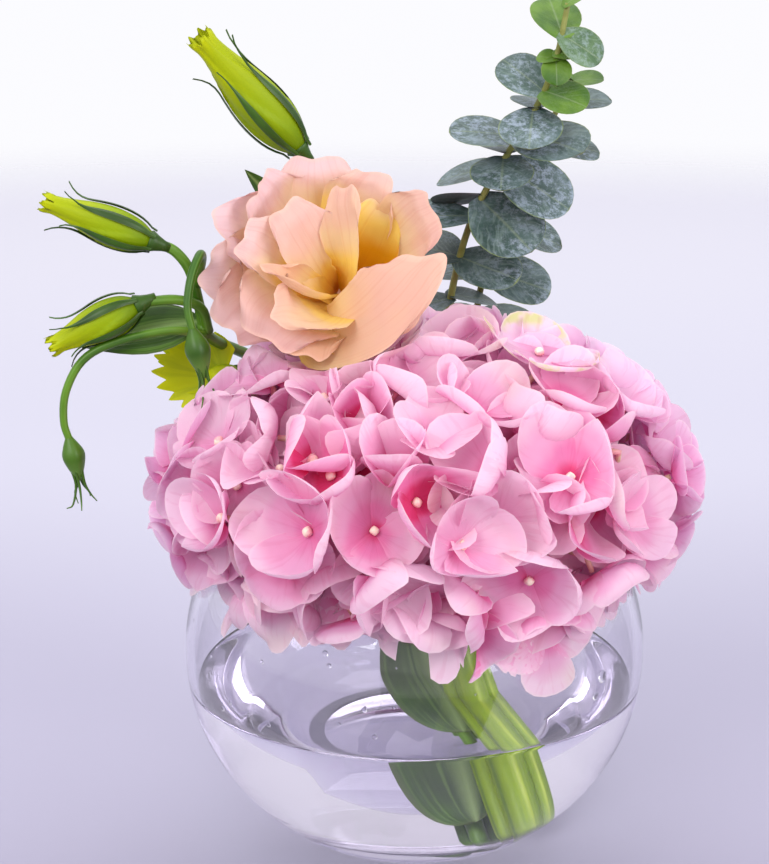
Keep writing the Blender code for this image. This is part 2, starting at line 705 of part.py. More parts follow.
def make_bloom(look):
    rng = random.Random(4)
    foot = tube("foot", [BLOOM_BASE - BLOOM_AXIS * 2, BLOOM_BASE + BLOOM_AXIS * 2, BLOOM_BASE + BLOOM_AXIS * 6],
                [3.6, 6.5, 4.0], 8)
    pieces = [foot]
    for axis, petals in ((HEART_AXIS, HEART_PETALS), (HEART_AXIS, MIDDLE_PETALS), (BLOOM_AXIS, OUTER_PETALS)):
        for petal in petals:
            pieces.append(blade("petal", petal_rows(axis, *petal, phase=rng.uniform(0, math.tau))))
    finish(fuse("lisianthus_bloom", pieces), "lisianthus_bloom", look)


BUDS = {
    "bud_top": ((-34.5, 10, 208), (-62, 0, 241), 7.0),
    "bud_left": ((-77, -6, 183), (-107, -8, 195), 5.4),
    "bud_low": ((-81, -9, 164.5), (-106, -12, 153), 5.6),
}


def make_lisianthus_greens(look):
    """The stems, leaves and calyces, with the two young buds that are still green."""
    pieces = [
        stem("main", MAIN_STEM, MAIN_STEM_RADIUS, 1.9),
        stem("side", SIDE_BRANCH, 1.7, 1.7),
        stem("top_bud_stem", TOP_BUD_STEM, 1.7, TWIG_RADIUS, 5),
        stem("left_bud_stem", LEFT_BUD_STEM, 1.5, TWIG_RADIUS, 5),
        stem("low_bud_stem", LOW_BUD_STEM, 1.4, TWIG_RADIUS, 5),
        stem("drooping_stem", DROOPING_STEM, TWIG_RADIUS, 1.0, 5, 2),
        stem("hanging_stem", HANGING_STEM, TWIG_RADIUS, 1.0, 5, 2),
        stem("opening_bud_stem", OPENING_BUD_STEM, 1.5, TWIG_RADIUS, 5, 2),
        leaf("dark_leaf", Vector((-62, -1, 158)), Vector((-35, -5, -5)), Vector((0.1, -0.7, 0.7)), 37, 17,
             POINTED_LEAF, sag=3, fold=1.5),
        leaf("small_leaf", Vector((-34, 43, 176)), Vector((-17, -16, 21)), Vector((0.2, -0.8, 0.3)), 34, 8,
             POINTED_LEAF, sag=-2, fold=1.0),
        water_leaf(),
    ]
    pieces += bloom_sepals()
    for base, tip, radius in BUDS.values():
        pieces += calyx(base, tip, radius)
    pieces += green_bud(DROOPING_STEM[-1], (-99, -14, 113), 3.2)
    pieces += green_bud(HANGING_STEM[-1], (-60.5, -28, 148), 3.4)
    finish(fuse("lisianthus_stems", pieces), "lisianthus_stems", look)


def water_leaf(grow=0.0):
    """The broad leaf on the lowest joint, which hangs down into the water. It can be grown, for its slot."""
    direction = Vector((16, -24, -52)).normalized()
    return leaf("water_leaf", Vector((-3, 12, 66)) - direction * grow, direction, Vector((-0.3, -0.9, 0.3)),
                56 + 4 * grow, 25 + 3 * grow, POINTED_LEAF, sag=-6, fold=2.0, thickness=BLADE + 2 * grow)


def make_opening_bud(look):
    """A bud just opening: toothed young petals fanned out from its foot."""
    foot = Vector((-54.5, 10.5, 140.2))
    route = [foot, foot + Vector((-3, -6, -0.5)), foot + Vector((-6, -9, -1))]
    pieces = [tube("foot", route, [1.4, 3.4, 2.0], 6)]
    fans = [(-23, -14, -4, 19), (-20, -16, 6, 15), (-13, -18, -9, 14)]
    for along, forward, rise, width in fans:
        direction = Vector((along, forward, rise))
        side = direction.cross(Vector((0.2, -0.8, 0.5))).normalized()
        rows = [[foot + Vector((-2, -4, -0.3))]]
        rows.append([foot + direction * 0.5 + side * width * 0.4 * across for across in (-1, -0.33, 0.33, 1)])
        rows.append([foot + direction * (0.9 if tooth % 2 else 1.04) + side * width * 0.5 * (tooth / 3 - 1)
                     for tooth in range(7)])
        pieces.append(blade("fan", rows))
    finish(fuse("bud_fringed", pieces), "bud_fringed", look)


def grown_stems(grow):
    """The thin stems that stand in the water, each a little thicker."""
    return [
        stem("hole", MAIN_STEM, MAIN_STEM_RADIUS, 1.9, grow=grow),
        stem("hole", LEFT_SPRIG, EUCALYPTUS_STEM_RADIUS, EUCALYPTUS_STEM_RADIUS * 0.6, 5, grow=grow),
        stem("hole", RIGHT_SPRIG, EUCALYPTUS_STEM_RADIUS, EUCALYPTUS_STEM_RADIUS * 0.6, 5, grow=grow),
    ]


def make_guards():
    """Shapes a little larger than the bowl and the stems, which keep the florets off them."""
    guard = [(radius + 0.5 if radius else 0, height) for radius, height in outer_profile()]
    return [lathe("guard", guard + [(0, RIM_HEIGHT - 1)], BOWL_SIDES)] + grown_stems(0.8)


def main():
    for old in list(bpy.data.objects):
        bpy.data.objects.remove(old)
    glass = material("clear_glass", (0.92, 0.95, 0.96), 0.02, 1.0)
    clear_water = material("water", (0.85, 0.92, 0.95), 0.02, 1.0)
    pink = material("pink_sepals", (0.90, 0.42, 0.62), 0.55)
    peach = material("peach_petals", (0.95, 0.62, 0.42), 0.55)
    lime = material("lime_buds", (0.50, 0.66, 0.10), 0.5)
    green = material("green_stems", (0.13, 0.30, 0.07), 0.5)
    bright = material("bright_stem", (0.36, 0.55, 0.10), 0.45)
    blue_green = material("eucalyptus", (0.20, 0.32, 0.27), 0.6)

    make_bowl(glass)
    make_bloom(peach)
    make_lisianthus_greens(green)
    for name, (base, tip, radius) in BUDS.items():
        bud(name, lime, base, tip, radius)
    make_opening_bud(lime)
    make_sprig("eucalyptus_left", blue_green, LEFT_SPRIG, LEFT_SPRIG_LEAVES + LEFT_SPRIG_TIP)
    make_sprig("eucalyptus_right", blue_green, RIGHT_SPRIG, RIGHT_SPRIG_LEAVES + RIGHT_SPRIG_TIP)
    guards = make_guards()
    neighbours = [tree_of(body) for body in bpy.data.objects if body.name != "glass_bowl"]
    for guard in guards:
        bpy.data.objects.remove(guard)
    head_stem = stem("hydrangea_stem", HYDRANGEA_STEM, HYDRANGEA_STEM_RADIUS, HYDRANGEA_STEM_RADIUS, 10)
    beds = [BLOOM_BED, OPENING_BUD_BED]
    for route in (MAIN_STEM, SIDE_BRANCH, OPENING_BUD_STEM, LEFT_SPRIG, RIGHT_SPRIG):
        beds += beds_along(route, 5.5)
    make_head(pink, beds, neighbours)
    finish(head_stem, "hydrangea_stem", bright)
    margin = GAP + 0.1
    thick_hole = stem("hole", HYDRANGEA_STEM, HYDRANGEA_STEM_RADIUS, HYDRANGEA_STEM_RADIUS, 10, grow=margin)
    make_water(clear_water, grown_stems(margin) + [thick_hole, water_leaf(margin)])


main()
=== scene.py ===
"""Looks for the floral table centrepiece: fine petals, leaves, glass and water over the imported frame.

Lengths are in millimetres, as in the part's own source, and become metres as each mesh is made. The bowl's
base is at the origin, +Z is up and the arrangement's front faces -Y.
"""

import math
import random

import bpy
from mathutils import Matrix, Vector, noise


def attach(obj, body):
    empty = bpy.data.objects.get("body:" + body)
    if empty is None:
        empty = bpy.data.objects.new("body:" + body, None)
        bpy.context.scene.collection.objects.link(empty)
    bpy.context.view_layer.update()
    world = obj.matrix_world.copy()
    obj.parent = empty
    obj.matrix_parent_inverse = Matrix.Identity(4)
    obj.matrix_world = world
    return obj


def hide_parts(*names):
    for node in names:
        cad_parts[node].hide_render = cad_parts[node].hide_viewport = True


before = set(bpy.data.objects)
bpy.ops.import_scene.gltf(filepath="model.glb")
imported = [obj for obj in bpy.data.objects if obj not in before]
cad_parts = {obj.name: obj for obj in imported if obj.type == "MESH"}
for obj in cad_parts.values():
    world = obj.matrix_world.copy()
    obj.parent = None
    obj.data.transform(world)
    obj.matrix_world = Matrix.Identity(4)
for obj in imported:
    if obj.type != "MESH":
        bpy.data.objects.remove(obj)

MM = 0.001
GOLDEN_ANGLE = math.radians(137.50776)
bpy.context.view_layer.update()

# ---- bowl and water: the sizes of the source, then finer ones
BOWL_RADIUS = 70.0
BELLY_HEIGHT = 56.0
BELLY_SEMI_HEIGHT = 66.0
RIM_HEIGHT = 100.0
WALL = 2.6
BASE_RADIUS = 34.0
FLOOR_HEIGHT = 6.0
WATER_LEVEL = 46.0
FOOT_HOLLOW = 0.9  # under the middle of the base
FLOOR_RISE = 5.5  # of the inner floor, 40 mm out from its middle
WALL_FOOT = 12.5  # height at which the inner floor has become the wall
LIP_RADIUS = 1.2
MENISCUS_RISE = 1.5
MENISCUS_WIDTH = 1.6
OVERLAP = 0.12  # of the water into the glass, so that no air film shows
BOWL_SIDES = 144
GLASS_IOR = 1.47
WATER_IOR = 1.333

# ---- hydrangea: centre and egg of the hearts as in the source, in a hull that reaches lower
HEAD_CENTRE = Vector((2.0, -14.0, 113.0))
CENTRES = {"side": 73.0, "front": 62.0, "back": 42.0, "up": 40.0, "down": 30.0}
HULL = {"side": 84.0, "front": 77.0, "back": 56.0, "up": 55.0, "down": 54.0}
HULL_MARGIN = 0.10  # share of its reach over which the outermost petals are held back
PETAL_CLEARANCE = 1.6  # from the bowl's wall
RIM_CLEARANCE = 5.0  # from a point in the middle of the wall, a little below the rim
SHOULDER_DROP = 3.0  # of that point
STEM_TOP = Vector((7.0, -13.0, 100.0))

# ---- lisianthus, as in the source but for the roomier bed of the opening bud
BLOOM_BASE = Vector((-23.5, 15.0, 162.0))
BLOOM_AXIS = Vector((-0.05, -0.80, 0.60)).normalized()
BLOOM_BED = (Vector((-26.0, -22.0, 186.0)), Vector((40.0, 48.0, 36.0)))  # centre and semi-axes
OPENING_BUD_BED = (Vector((-68.0, -6.0, 146.0)), Vector((22.0, 27.0, 21.0)))
TWIG_RADIUS = 1.3

# ---- routes of the stems from the cut end upwards, as in the source but for the right sprig's foot
HYDRANGEA_STEM = [(31, -26, 11), (24, -21, 28), (17, -17, 48), (11, -14, 70), (7.5, -13, 88), (7, -13, 100.1)]
MAIN_STEM = [(19, -14, 10), (11, -4, 30), (1, 10, 55), (-11, 25, 80), (-20, 36, 100), (-27, 43, 118),
             (-31, 45, 138), (-29, 36, 151), (-25, 20, 159)]
SIDE_BRANCH = [(-28, 44, 124), (-40, 37, 132), (-52, 20, 143), (-60, 4, 151), (-63, -3, 157)]
TOP_BUD_STEM = [(-31, 45, 134), (-36, 46, 158), (-36, 42, 182), (-34, 32, 198), (-33.5, 22, 204.8),
                (-33.2, 11, 206.1)]
LEFT_BUD_STEM = [(-62, -1, 154), (-64, -2, 165), (-66, -4, 174), (-70, -5, 179.7), (-74.7, -5.8, 182.1)]
LOW_BUD_STEM = [(-61, -2, 155), (-63, -5, 163), (-70, -8, 166), (-78.7, -8.7, 165.5)]
DROOPING_STEM = [(-61, -2, 154), (-72, -9, 157), (-88, -12, 154), (-97, -13, 149), (-102, -14, 140),
                 (-103, -14, 131), (-101.5, -14, 125)]
HANGING_STEM = [(-64.5, -2, 168), (-62, -9, 178), (-62, -17, 181), (-64, -23, 176), (-65, -26, 168),
                (-63.5, -27, 161)]
OPENING_BUD_STEM = [(-44, 31, 135), (-49, 22, 138), (-54.2, 11.0, 140.2)]
LEFT_SPRIG = [(23, -6, 10), (19, 7, 32), (15, 20, 60), (12, 33, 90), (10, 42, 112), (10, 45, 135),
              (12, 41, 158), (18, 36, 182), (28, 31, 202), (37, 28, 218), (42, 26, 232), (45, 25, 248)]
RIGHT_SPRIG = [(27, -8, 10), (23, 0, 32), (17, 14, 60), (20, 34, 90), (22, 47, 112), (20, 55, 135),
               (21, 55, 153), (27, 53, 175), (37, 51, 197), (48, 47, 222)]
# base, tip and radius of each closed bud, as in the source
BUDS = {
    "bud_top": ((-34.5, 10, 208), (-62, 0, 241), 7.0),
    "bud_left": ((-77, -6, 183), (-107, -8, 195), 5.4),
    "bud_low": ((-81, -9, 164.5), (-106, -12, 153), 5.6),
}
GREEN_BUDS = [(DROOPING_STEM[-1], (-99, -14, 113), 3.2), (HANGING_STEM[-1], (-60.5, -28, 148), 3.4)]

# ---- eucalyptus, close to the source, with a few leaves moved and added
EUCALYPTUS_STEM_RADIUS = 1.5
LEAF_BREADTH = 0.92  # of its length
# of each leaf: height of its node, azimuth (-90 faces the front), rise, roll towards the front, length
LEFT_SPRIG_LEAVES = [
    (154, 200, -5, 10, 17), (155, 25, -8, 10, 17),
    (168, 152, 10, 22, 22), (168, -30, -12, 25, 22),
    (181, 180, 3, 12, 25), (182, 8, -14, 20, 24),
    (187, -40, -32, 30, 25), (188, 130, -14, -12, 20),
    (197, 158, -12, 14, 21), (198, -15, -28, 30, 26),
    (200, -95, -15, 0, 21), (202, 95, 5, 0, 18),
    (207, 186, 8, 18, 22), (208, -40, -5, 20, 25),
    (215, -97, -22, 0, 21), (216, 85, 8, 0, 17),
    (221, 150, 35, 30, 18), (238, -12, -28, 40, 15),
]
LEFT_SPRIG_TIP = [
    (231, -88, -45, 0, 10), (231, 178, 10, 30, 7), (232, -2, 10, 30, 7), (247, 15, 40, 20, 7),
    (221, -32, -10, 30, 16), (238, 105, 42, 0, 17),
]
RIGHT_SPRIG_LEAVES = [
    (145, -8, -10, 22, 22), (146, 170, -4, 12, 18),
    (160, 170, 0, 14, 17), (161, -10, -16, 30, 23),
    (176, 5, -18, 20, 22), (177, 150, 6, 5, 18),
    (190, 90, 6, 0, 18), (191, -35, -15, 20, 15),
    (202, 0, -8, 18, 20), (203, 160, 15, 0, 14),
    (213, 70, 12, 0, 15), (214, 12, 8, 14, 18),
]
RIGHT_SPRIG_TIP = [(221, -15, 12, 18, 12), (222, 165, 40, 0, 8)]


# ---- meshes in the making

class Shape:
    """Points and faces of one mesh, with named numbers for each point that its material reads."""

    def __init__(self):
        self.points, self.faces, self.numbers = [], [], {}

    def add(self, points, faces, **numbers):
        """Adds points and faces. Each named number is one for all of them or a list with one for each."""
        first = len(self.points)
        self.points += [Vector(point) * MM for point in points]
        self.faces += [tuple(first + corner for corner in face) for face in faces]
        for name, value in numbers.items():
            known = self.numbers.setdefault(name, [])
            known += [0.0] * (first - len(known))
            known += value if isinstance(value, list) else [value] * len(points)

    def sheet(self, rows, closed=False, **numbers):
        """Adds a grid of points, row by row. Closed rows run round and meet themselves."""
        width = len(rows[0])
        faces = []
        for i in range(len(rows) - 1):
            for j in range(width if closed else width - 1):
                k = (j + 1) % width
                faces.append((i * width + j, i * width + k, (i + 1) * width + k, (i + 1) * width + j))
        self.add([point for row in rows for point in row], faces, **numbers)

    def barrel(self, rows, open_foot=False, **numbers):
        """Adds closed rows with one face over each end, or over the far end alone."""
        first, sides = len(self.points), len(rows[0])
        self.sheet(rows, closed=True, **numbers)
        if not open_foot:
            self.faces.append(tuple(range(first, first + sides))[::-1])
        last = len(self.points) - sides
        self.faces.append(tuple(range(last, last + sides)))

    def tube(self, route, radii, sides=10, **numbers):
        """Adds a tube with closed ends along a route of Vectors."""
        across = frame_along(route[1] - route[0]).col[0].copy()
        rows = []
        for i, place in enumerate(route):
            along = (route[min(i + 1, len(route) - 1)] - route[max(i - 1, 0)]).normalized()
            across = (across - across.dot(along) * along).normalized()
            other = along.cross(across)
            rows.append([place + radii[i] * (math.cos(turn) * across + math.sin(turn) * other)
                         for turn in turns(sides)])
        lengths = [t for t in steps(len(route)) for _ in range(sides)]
        self.barrel(rows, along=lengths, **numbers)

    def made(self, name, look, *nodes):
        """The finished piece, which rides on the row's body and stands for the nodes."""
        mesh = bpy.data.meshes.new(name)
        mesh.from_pydata(self.points, [], self.faces)
        for label, values in self.numbers.items():
            values += [0.0] * (len(self.points) - len(values))
            mesh.attributes.new(label, "FLOAT", "POINT").data.foreach_set("value", values)
        mesh.shade_smooth()
        mesh.materials.append(look)
        piece = placed(name, mesh)
        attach(piece, "root")
        if nodes:
            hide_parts(*nodes)
        return piece


def placed(name, data):
    """A new object of the scene, made of a mesh, a lamp or a camera."""
    thing = bpy.data.objects.new(name, data)
    bpy.context.scene.collection.objects.link(thing)
    return thing


def turns(count):
    """So many angles, evenly spread over a full turn."""
    return [math.tau * i / count for i in range(count)]


def steps(count):
    """So many numbers, evenly spread from 0 to 1."""
    return [i / (count - 1) for i in range(count)]


def on_ring(radius, turn, height=0.0):
    """The point of a level ring about Z at an angle."""
    return Vector((radius * math.cos(turn), radius * math.sin(turn), height))


def smooth_route(points, between):
    """Points along a Catmull-Rom curve through the given points, with so many steps between neighbours."""
    ends = [Vector(p) for p in points]
    ends = [2 * ends[0] - ends[1]] + ends + [2 * ends[-1] - ends[-2]]
    route = []
    for a, b, c, d in zip(ends, ends[1:], ends[2:], ends[3:]):
        for step in range(between):
            t = step / between
            route.append(0.5 * (2 * b + (c - a) * t + (2 * a - 5 * b + 4 * c - d) * t**2
                                + (3 * b - a - 3 * c + d) * t**3))
    return route + [ends[-2]]


def frame_along(direction, towards=Vector((0, 0, 1))):
    """A rotation whose Z is the direction and whose X leans towards the second vector."""
    z = direction.normalized()
    x = towards - towards.dot(z) * z
    if x.length < 1e-4:
        x = z.orthogonal()
    x.normalize()
    return Matrix((x, z.cross(x), z)).transposed()


def ease(value, low, high):
    """A smooth rise from 0 at the low value to 1 at the high one."""
    share = min(1.0, max(0.0, (value - low) / (high - low)))
    return share * share * (3 - 2 * share)


def along_curve(knots, at):
    """Height at a place of a smooth curve through (place, height) knots."""
    for i in range(len(knots) - 1):
        (x0, y0), (x1, y1) = knots[i], knots[i + 1]
        if at <= x1:
            before = knots[max(i - 1, 0)]
            after = knots[min(i + 2, len(knots) - 1)]
            start = (y1 - before[1]) / (x1 - before[0]) * (x1 - x0)
            end = (after[1] - y0) / (after[0] - x0) * (x1 - x0)
            t = (at - x0) / (x1 - x0)
            return ((2 * t**3 - 3 * t**2 + 1) * y0 + (t**3 - 2 * t**2 + t) * start
                    + (3 * t**2 - 2 * t**3) * y1 + (t**3 - t**2) * end)
    return knots[-1][1]


# ---- materials

def display(red, green, blue):
    """A linear colour from the 0 to 255 values that a screen shows."""
    return tuple((c / 12.92 if c <= 0.04045 else ((c + 0.055) / 1.055) ** 2.4)
                 for c in (red / 255, green / 255, blue / 255)) + (1.0,)


def mix_shaders(tree, first, second, output):
    """Mixes two shaders on the way to the output, and returns the socket for the second one's share."""
    mixed = tree.nodes.new("ShaderNodeMixShader")
    tree.links.new(first.outputs[0], mixed.inputs[1])
    tree.links.new(second.outputs[0], mixed.inputs[2])
    tree.links.new(mixed.outputs[0], tree.nodes[output].inputs["Surface"])
    return mixed.inputs["Fac"]


class Look:
    """A material in the making. Its methods add nodes and return the socket that comes out of them.

    They take sockets, plain numbers, and colours as the (red, green, blue) that a screen shows.
    """

    def __init__(self, name, roughness=0.5, colour=(0.8, 0.8, 0.8, 1.0)):
        self.material = bpy.data.materials.new(name)
        self.material.use_nodes = True
        self.tree = self.material.node_tree
        self.shader = self.tree.nodes["Principled BSDF"]
        self.set(Roughness=roughness, Base_Color=colour)

    def set(self, **settings):
        for name, value in settings.items():
            self.shader.inputs[name.replace("_", " ")].default_value = value

    def plug(self, source, target):
        """Links a socket to another, or sets that one to a number or colour."""
        if isinstance(source, bpy.types.NodeSocket):
            self.tree.links.new(source, target)
        else:
            target.default_value = display(*source) if isinstance(source, tuple) else source

    def point(self, name):
        """The number that the mesh holds for each point under a name."""
        node = self.tree.nodes.new("ShaderNodeAttribute")
        node.attribute_name = name
        return node.outputs["Fac"]

    def points(self, *names):
        """The same for several names."""
        return [self.point(name) for name in names]

    def place(self):
        return self.tree.nodes.new("ShaderNodeTexCoord").outputs["Object"]

    def vector(self, x, y, z):
        node = self.tree.nodes.new("ShaderNodeCombineXYZ")
        for source, target in zip((x, y, z), node.inputs):
            self.plug(source, target)
        return node.outputs[0]

    def math(self, operation, a, b=0.0):
        node = self.tree.nodes.new("ShaderNodeMath")
        node.operation = operation
        self.plug(a, node.inputs[0])
        self.plug(b, node.inputs[1])
        return node.outputs[0]

    def times(self, a, b):
        return self.math("MULTIPLY", a, b)

    def plus(self, a, b):
        return self.math("ADD", a, b)

    def shifted(self, factor, size):
        """A factor of about 0.5, centred on nothing and scaled."""
        return self.times(self.math("SUBTRACT", factor, 0.5), size)

    def level(self, factor, low, high, bottom=0.0, top=1.0):
        """A factor's range from low to high, spread over bottom to top and held there outside it."""
        node = self.tree.nodes.new("ShaderNodeMapRange")
        node.interpolation_type = "SMOOTHSTEP"
        for source, target in zip((factor, low, high, bottom, top), node.inputs):
            self.plug(source, target)
        return node.outputs["Result"]

    def noise(self, scale, detail=3.0, vector=None, roughness=0.5):
        node = self.tree.nodes.new("ShaderNodeTexNoise")
        node.inputs["Scale"].default_value = scale
        node.inputs["Detail"].default_value = detail
        node.inputs["Roughness"].default_value = roughness
        self.plug(vector or self.place(), node.inputs["Vector"])
        return node.outputs["Fac"]

    def streaks(self, detail, x, y, z):
        """Noise that follows the numbers of the mesh, and so each sepal, leaf or stem as it bends."""
        return self.noise(1.0, detail, self.vector(x, y, z))

    def ramp(self, factor, *stops):
        """Colours by a factor, from (place, colour) stops."""
        node = self.tree.nodes.new("ShaderNodeValToRGB")
        node.color_ramp.interpolation = "EASE"
        while len(node.color_ramp.elements) < len(stops):
            node.color_ramp.elements.new(0.5)
        for element, (place, colour) in zip(node.color_ramp.elements, stops):
            element.position = place
            element.color = display(*colour)
        self.plug(factor, node.inputs["Fac"])
        return node.outputs["Color"]

    def mottled(self, scale, detail, dark, light, low=0.3, high=0.7):
        """Two colours that flow into each other in patches."""
        return self.ramp(self.noise(scale, detail), (low, dark), (high, light))

    def mix(self, factor, a, b, kind="MIX"):
        node = self.tree.nodes.new("ShaderNodeMix")
        node.data_type = "RGBA"
        node.blend_type = kind
        self.plug(factor, node.inputs["Factor"])
        self.plug(a, node.inputs[6])
        self.plug(b, node.inputs[7])
        return node.outputs[2]

    def colour(self, source):
        self.plug(source, self.shader.inputs["Base Color"])

    def bump(self, height, strength, distance):
        node = self.tree.nodes.new("ShaderNodeBump")
        node.inputs["Strength"].default_value = strength
        node.inputs["Distance"].default_value = distance
        self.plug(height, node.inputs["Height"])
        self.tree.links.new(node.outputs["Normal"], self.shader.inputs["Normal"])

    def glow_through(self, colour, share):
        """Lets light through from behind, as a thin petal or leaf does."""
        through = self.tree.nodes.new("ShaderNodeBsdfTranslucent")
        self.plug(colour, through.inputs["Color"])
        self.plug(share, mix_shaders(self.tree, self.shader, through, "Material Output"))

    def clear(self, ior):
        """Clear glass or water that doesn't stop the lamps' light."""
        self.set(Transmission_Weight=1.0, IOR=ior)
        rays = self.tree.nodes.new("ShaderNodeLightPath")
        empty = self.tree.nodes.new("ShaderNodeBsdfTransparent")
        share = mix_shaders(self.tree, self.shader, empty, "Material Output")
        self.plug(rays.outputs["Is Shadow Ray"], share)


def sepal_look():
    """Hydrangea sepals: magenta at the heart, paler outwards, with a thin whitish edge and fine veins."""
    look = Look("pink_sepals", 0.62)
    along, across, rim, tint, lilac, cream = look.points("along", "across", "rim", "tint", "lilac", "cream")
    reach = look.plus(along, look.shifted(look.noise(80.0, 2.0), 0.55))
    reach = look.plus(reach, look.shifted(tint, 0.5))
    pink = look.ramp(reach, (0.0, (232, 74, 132)), (0.18, (242, 138, 190)), (0.45, (246, 184, 218)),
                     (0.8, (252, 218, 236)))
    mauve = look.ramp(reach, (0.0, (226, 132, 188)), (0.3, (238, 182, 220)), (0.85, (246, 218, 240)))
    # painted shade: the lilac share cools the colour of sepals deep in the head and at its sides
    base = look.mix(lilac, pink, mauve)
    faded = look.times(look.level(look.noise(34.0, 2.0), 0.56, 0.74, 0.0, 0.5), look.level(along, 0.4, 0.9))
    base = look.mix(faded, base, (244, 226, 214))
    blotch = look.times(look.level(look.noise(150.0, 2.0), 0.42, 0.62), look.level(along, 0.5, 0.8))
    base = look.mix(look.times(cream, blotch), base, (222, 222, 160))
    veins = look.streaks(3.0, look.times(across, 10.0), look.times(along, 1.5), look.times(tint, 40.0))
    base = look.mix(look.level(veins, 0.52, 0.66, 0.0, 0.13), base, (222, 120, 170), "MULTIPLY")
    base = look.mix(look.level(rim, 0.93, 1.0, 0.0, 0.6), base, (250, 228, 236))
    look.colour(base)
    look.set(Sheen_Weight=0.1, Sheen_Roughness=0.4, Specular_IOR_Level=0.22)
    look.bump(veins, 0.3, 0.0006)
    look.glow_through(base, 0.42)
    return look.material


def bead_look():
    """The closed fertile flower at the middle of each floret."""
    look = Look("flower_beads", 0.45)
    look.colour(look.mottled(420.0, 1.0, (236, 176, 176), (248, 226, 206), 0.35, 0.6))
    look.set(Subsurface_Weight=0.2, Subsurface_Radius=(0.002, 0.001, 0.0006), Subsurface_Scale=1.0)
    return look.material


def stalk_look():
    """The thin stalks that carry the florets: pale green, flushed with pink."""
    look = Look("floret_stalks", 0.5)
    look.colour(look.mottled(120.0, 2.0, (206, 190, 150), (226, 150, 160), 0.35, 0.65))
    return look.material


def petal_look():
    """Lisianthus petals: gold at the foot, peach above and a rose blush towards the lip."""
    look = Look("peach_petals", 0.55)
    along, across, rim, blush, tint = look.points("along", "across", "rim", "blush", "tint")
    reach = look.plus(along, look.shifted(look.noise(70.0, 2.0), 0.35))
    reach = look.plus(reach, look.shifted(tint, 0.2))
    base = look.ramp(reach, (0.12, (232, 172, 16)), (0.34, (246, 214, 104)), (0.55, (236, 205, 151)),
                     (0.8, (231, 186, 151)), (1.0, (228, 178, 154)))
    base = look.mix(look.times(blush, look.level(reach, 0.35, 0.9)), base, (237, 197, 200))
    creases = look.streaks(3.0, look.times(across, 14.0), along, look.times(tint, 30.0))
    base = look.mix(look.times(look.level(creases, 0.5, 0.66), 0.10), base, (226, 140, 110), "MULTIPLY")
    base = look.mix(look.level(rim, 0.93, 1.0, 0.0, 0.35), base, (250, 214, 190))
    look.colour(base)
    look.set(Sheen_Weight=0.15, Sheen_Roughness=0.4, Specular_IOR_Level=0.25)
    look.bump(creases, 0.3, 0.0006)
    look.glow_through(base, 0.30)
    return look.material


def lime_look():
    """Closed buds and toothed young petals: lime, yellower towards the mouth, with folds."""
    look = Look("lime_buds", 0.5)
    along, across = look.points("along", "across")
    base = look.ramp(along, (0.0, (126, 156, 0)), (0.35, (154, 177, 0)), (0.8, (186, 198, 0)),
                     (1.0, (202, 210, 4)))
    folds = look.streaks(3.0, look.times(across, 12.0), look.times(along, 2.0), 0.0)
    base = look.mix(look.level(folds, 0.42, 0.62, 0.0, 0.22), base, (108, 138, 6))
    look.colour(base)
    look.set(Specular_IOR_Level=0.25)
    look.bump(folds, 0.35, 0.0007)
    look.glow_through(base, 0.25)
    return look.material


def green_look():
    """Lisianthus stems, sepals and leaves: smooth mid green with paler streaks and a greyer edge."""
    look = Look("green_stems", 0.42)
    along, across, rim, tint, midrib = look.points("along", "across", "rim", "tint", "midrib")
    fresh = look.mottled(55.0, 3.0, (48, 90, 10), (92, 134, 26))
    dark = look.mottled(70.0, 3.0, (26, 54, 4), (54, 90, 14))
    base = look.mix(tint, fresh, dark)
    streaks = look.streaks(2.0, look.times(across, 10.0), along, tint)
    base = look.mix(look.level(streaks, 0.5, 0.66, 0.0, 0.3), base, (122, 160, 70))
    base = look.mix(look.level(rim, 0.85, 1.0, 0.0, 0.6), base, (84, 96, 56))
    base = look.mix(look.times(midrib, 0.7), base, (150, 178, 104))
    look.colour(base)
    look.set(Specular_IOR_Level=0.4)
    look.bump(streaks, 0.3, 0.0005)
    return look.material


def bright_stem_look():
    """The hydrangea's stem: bright yellow-green with streaks along it."""
    look = Look("bright_stem", 0.36)
    along, across = look.points("along", "across")
    streaks = look.streaks(3.0, look.times(across, 9.0), along, 0.0)
    look.colour(look.ramp(streaks, (0.3, (94, 131, 0)), (0.5, (132, 163, 0)), (0.75, (166, 189, 22))))
    look.bump(streaks, 0.4, 0.0008)
    return look.material


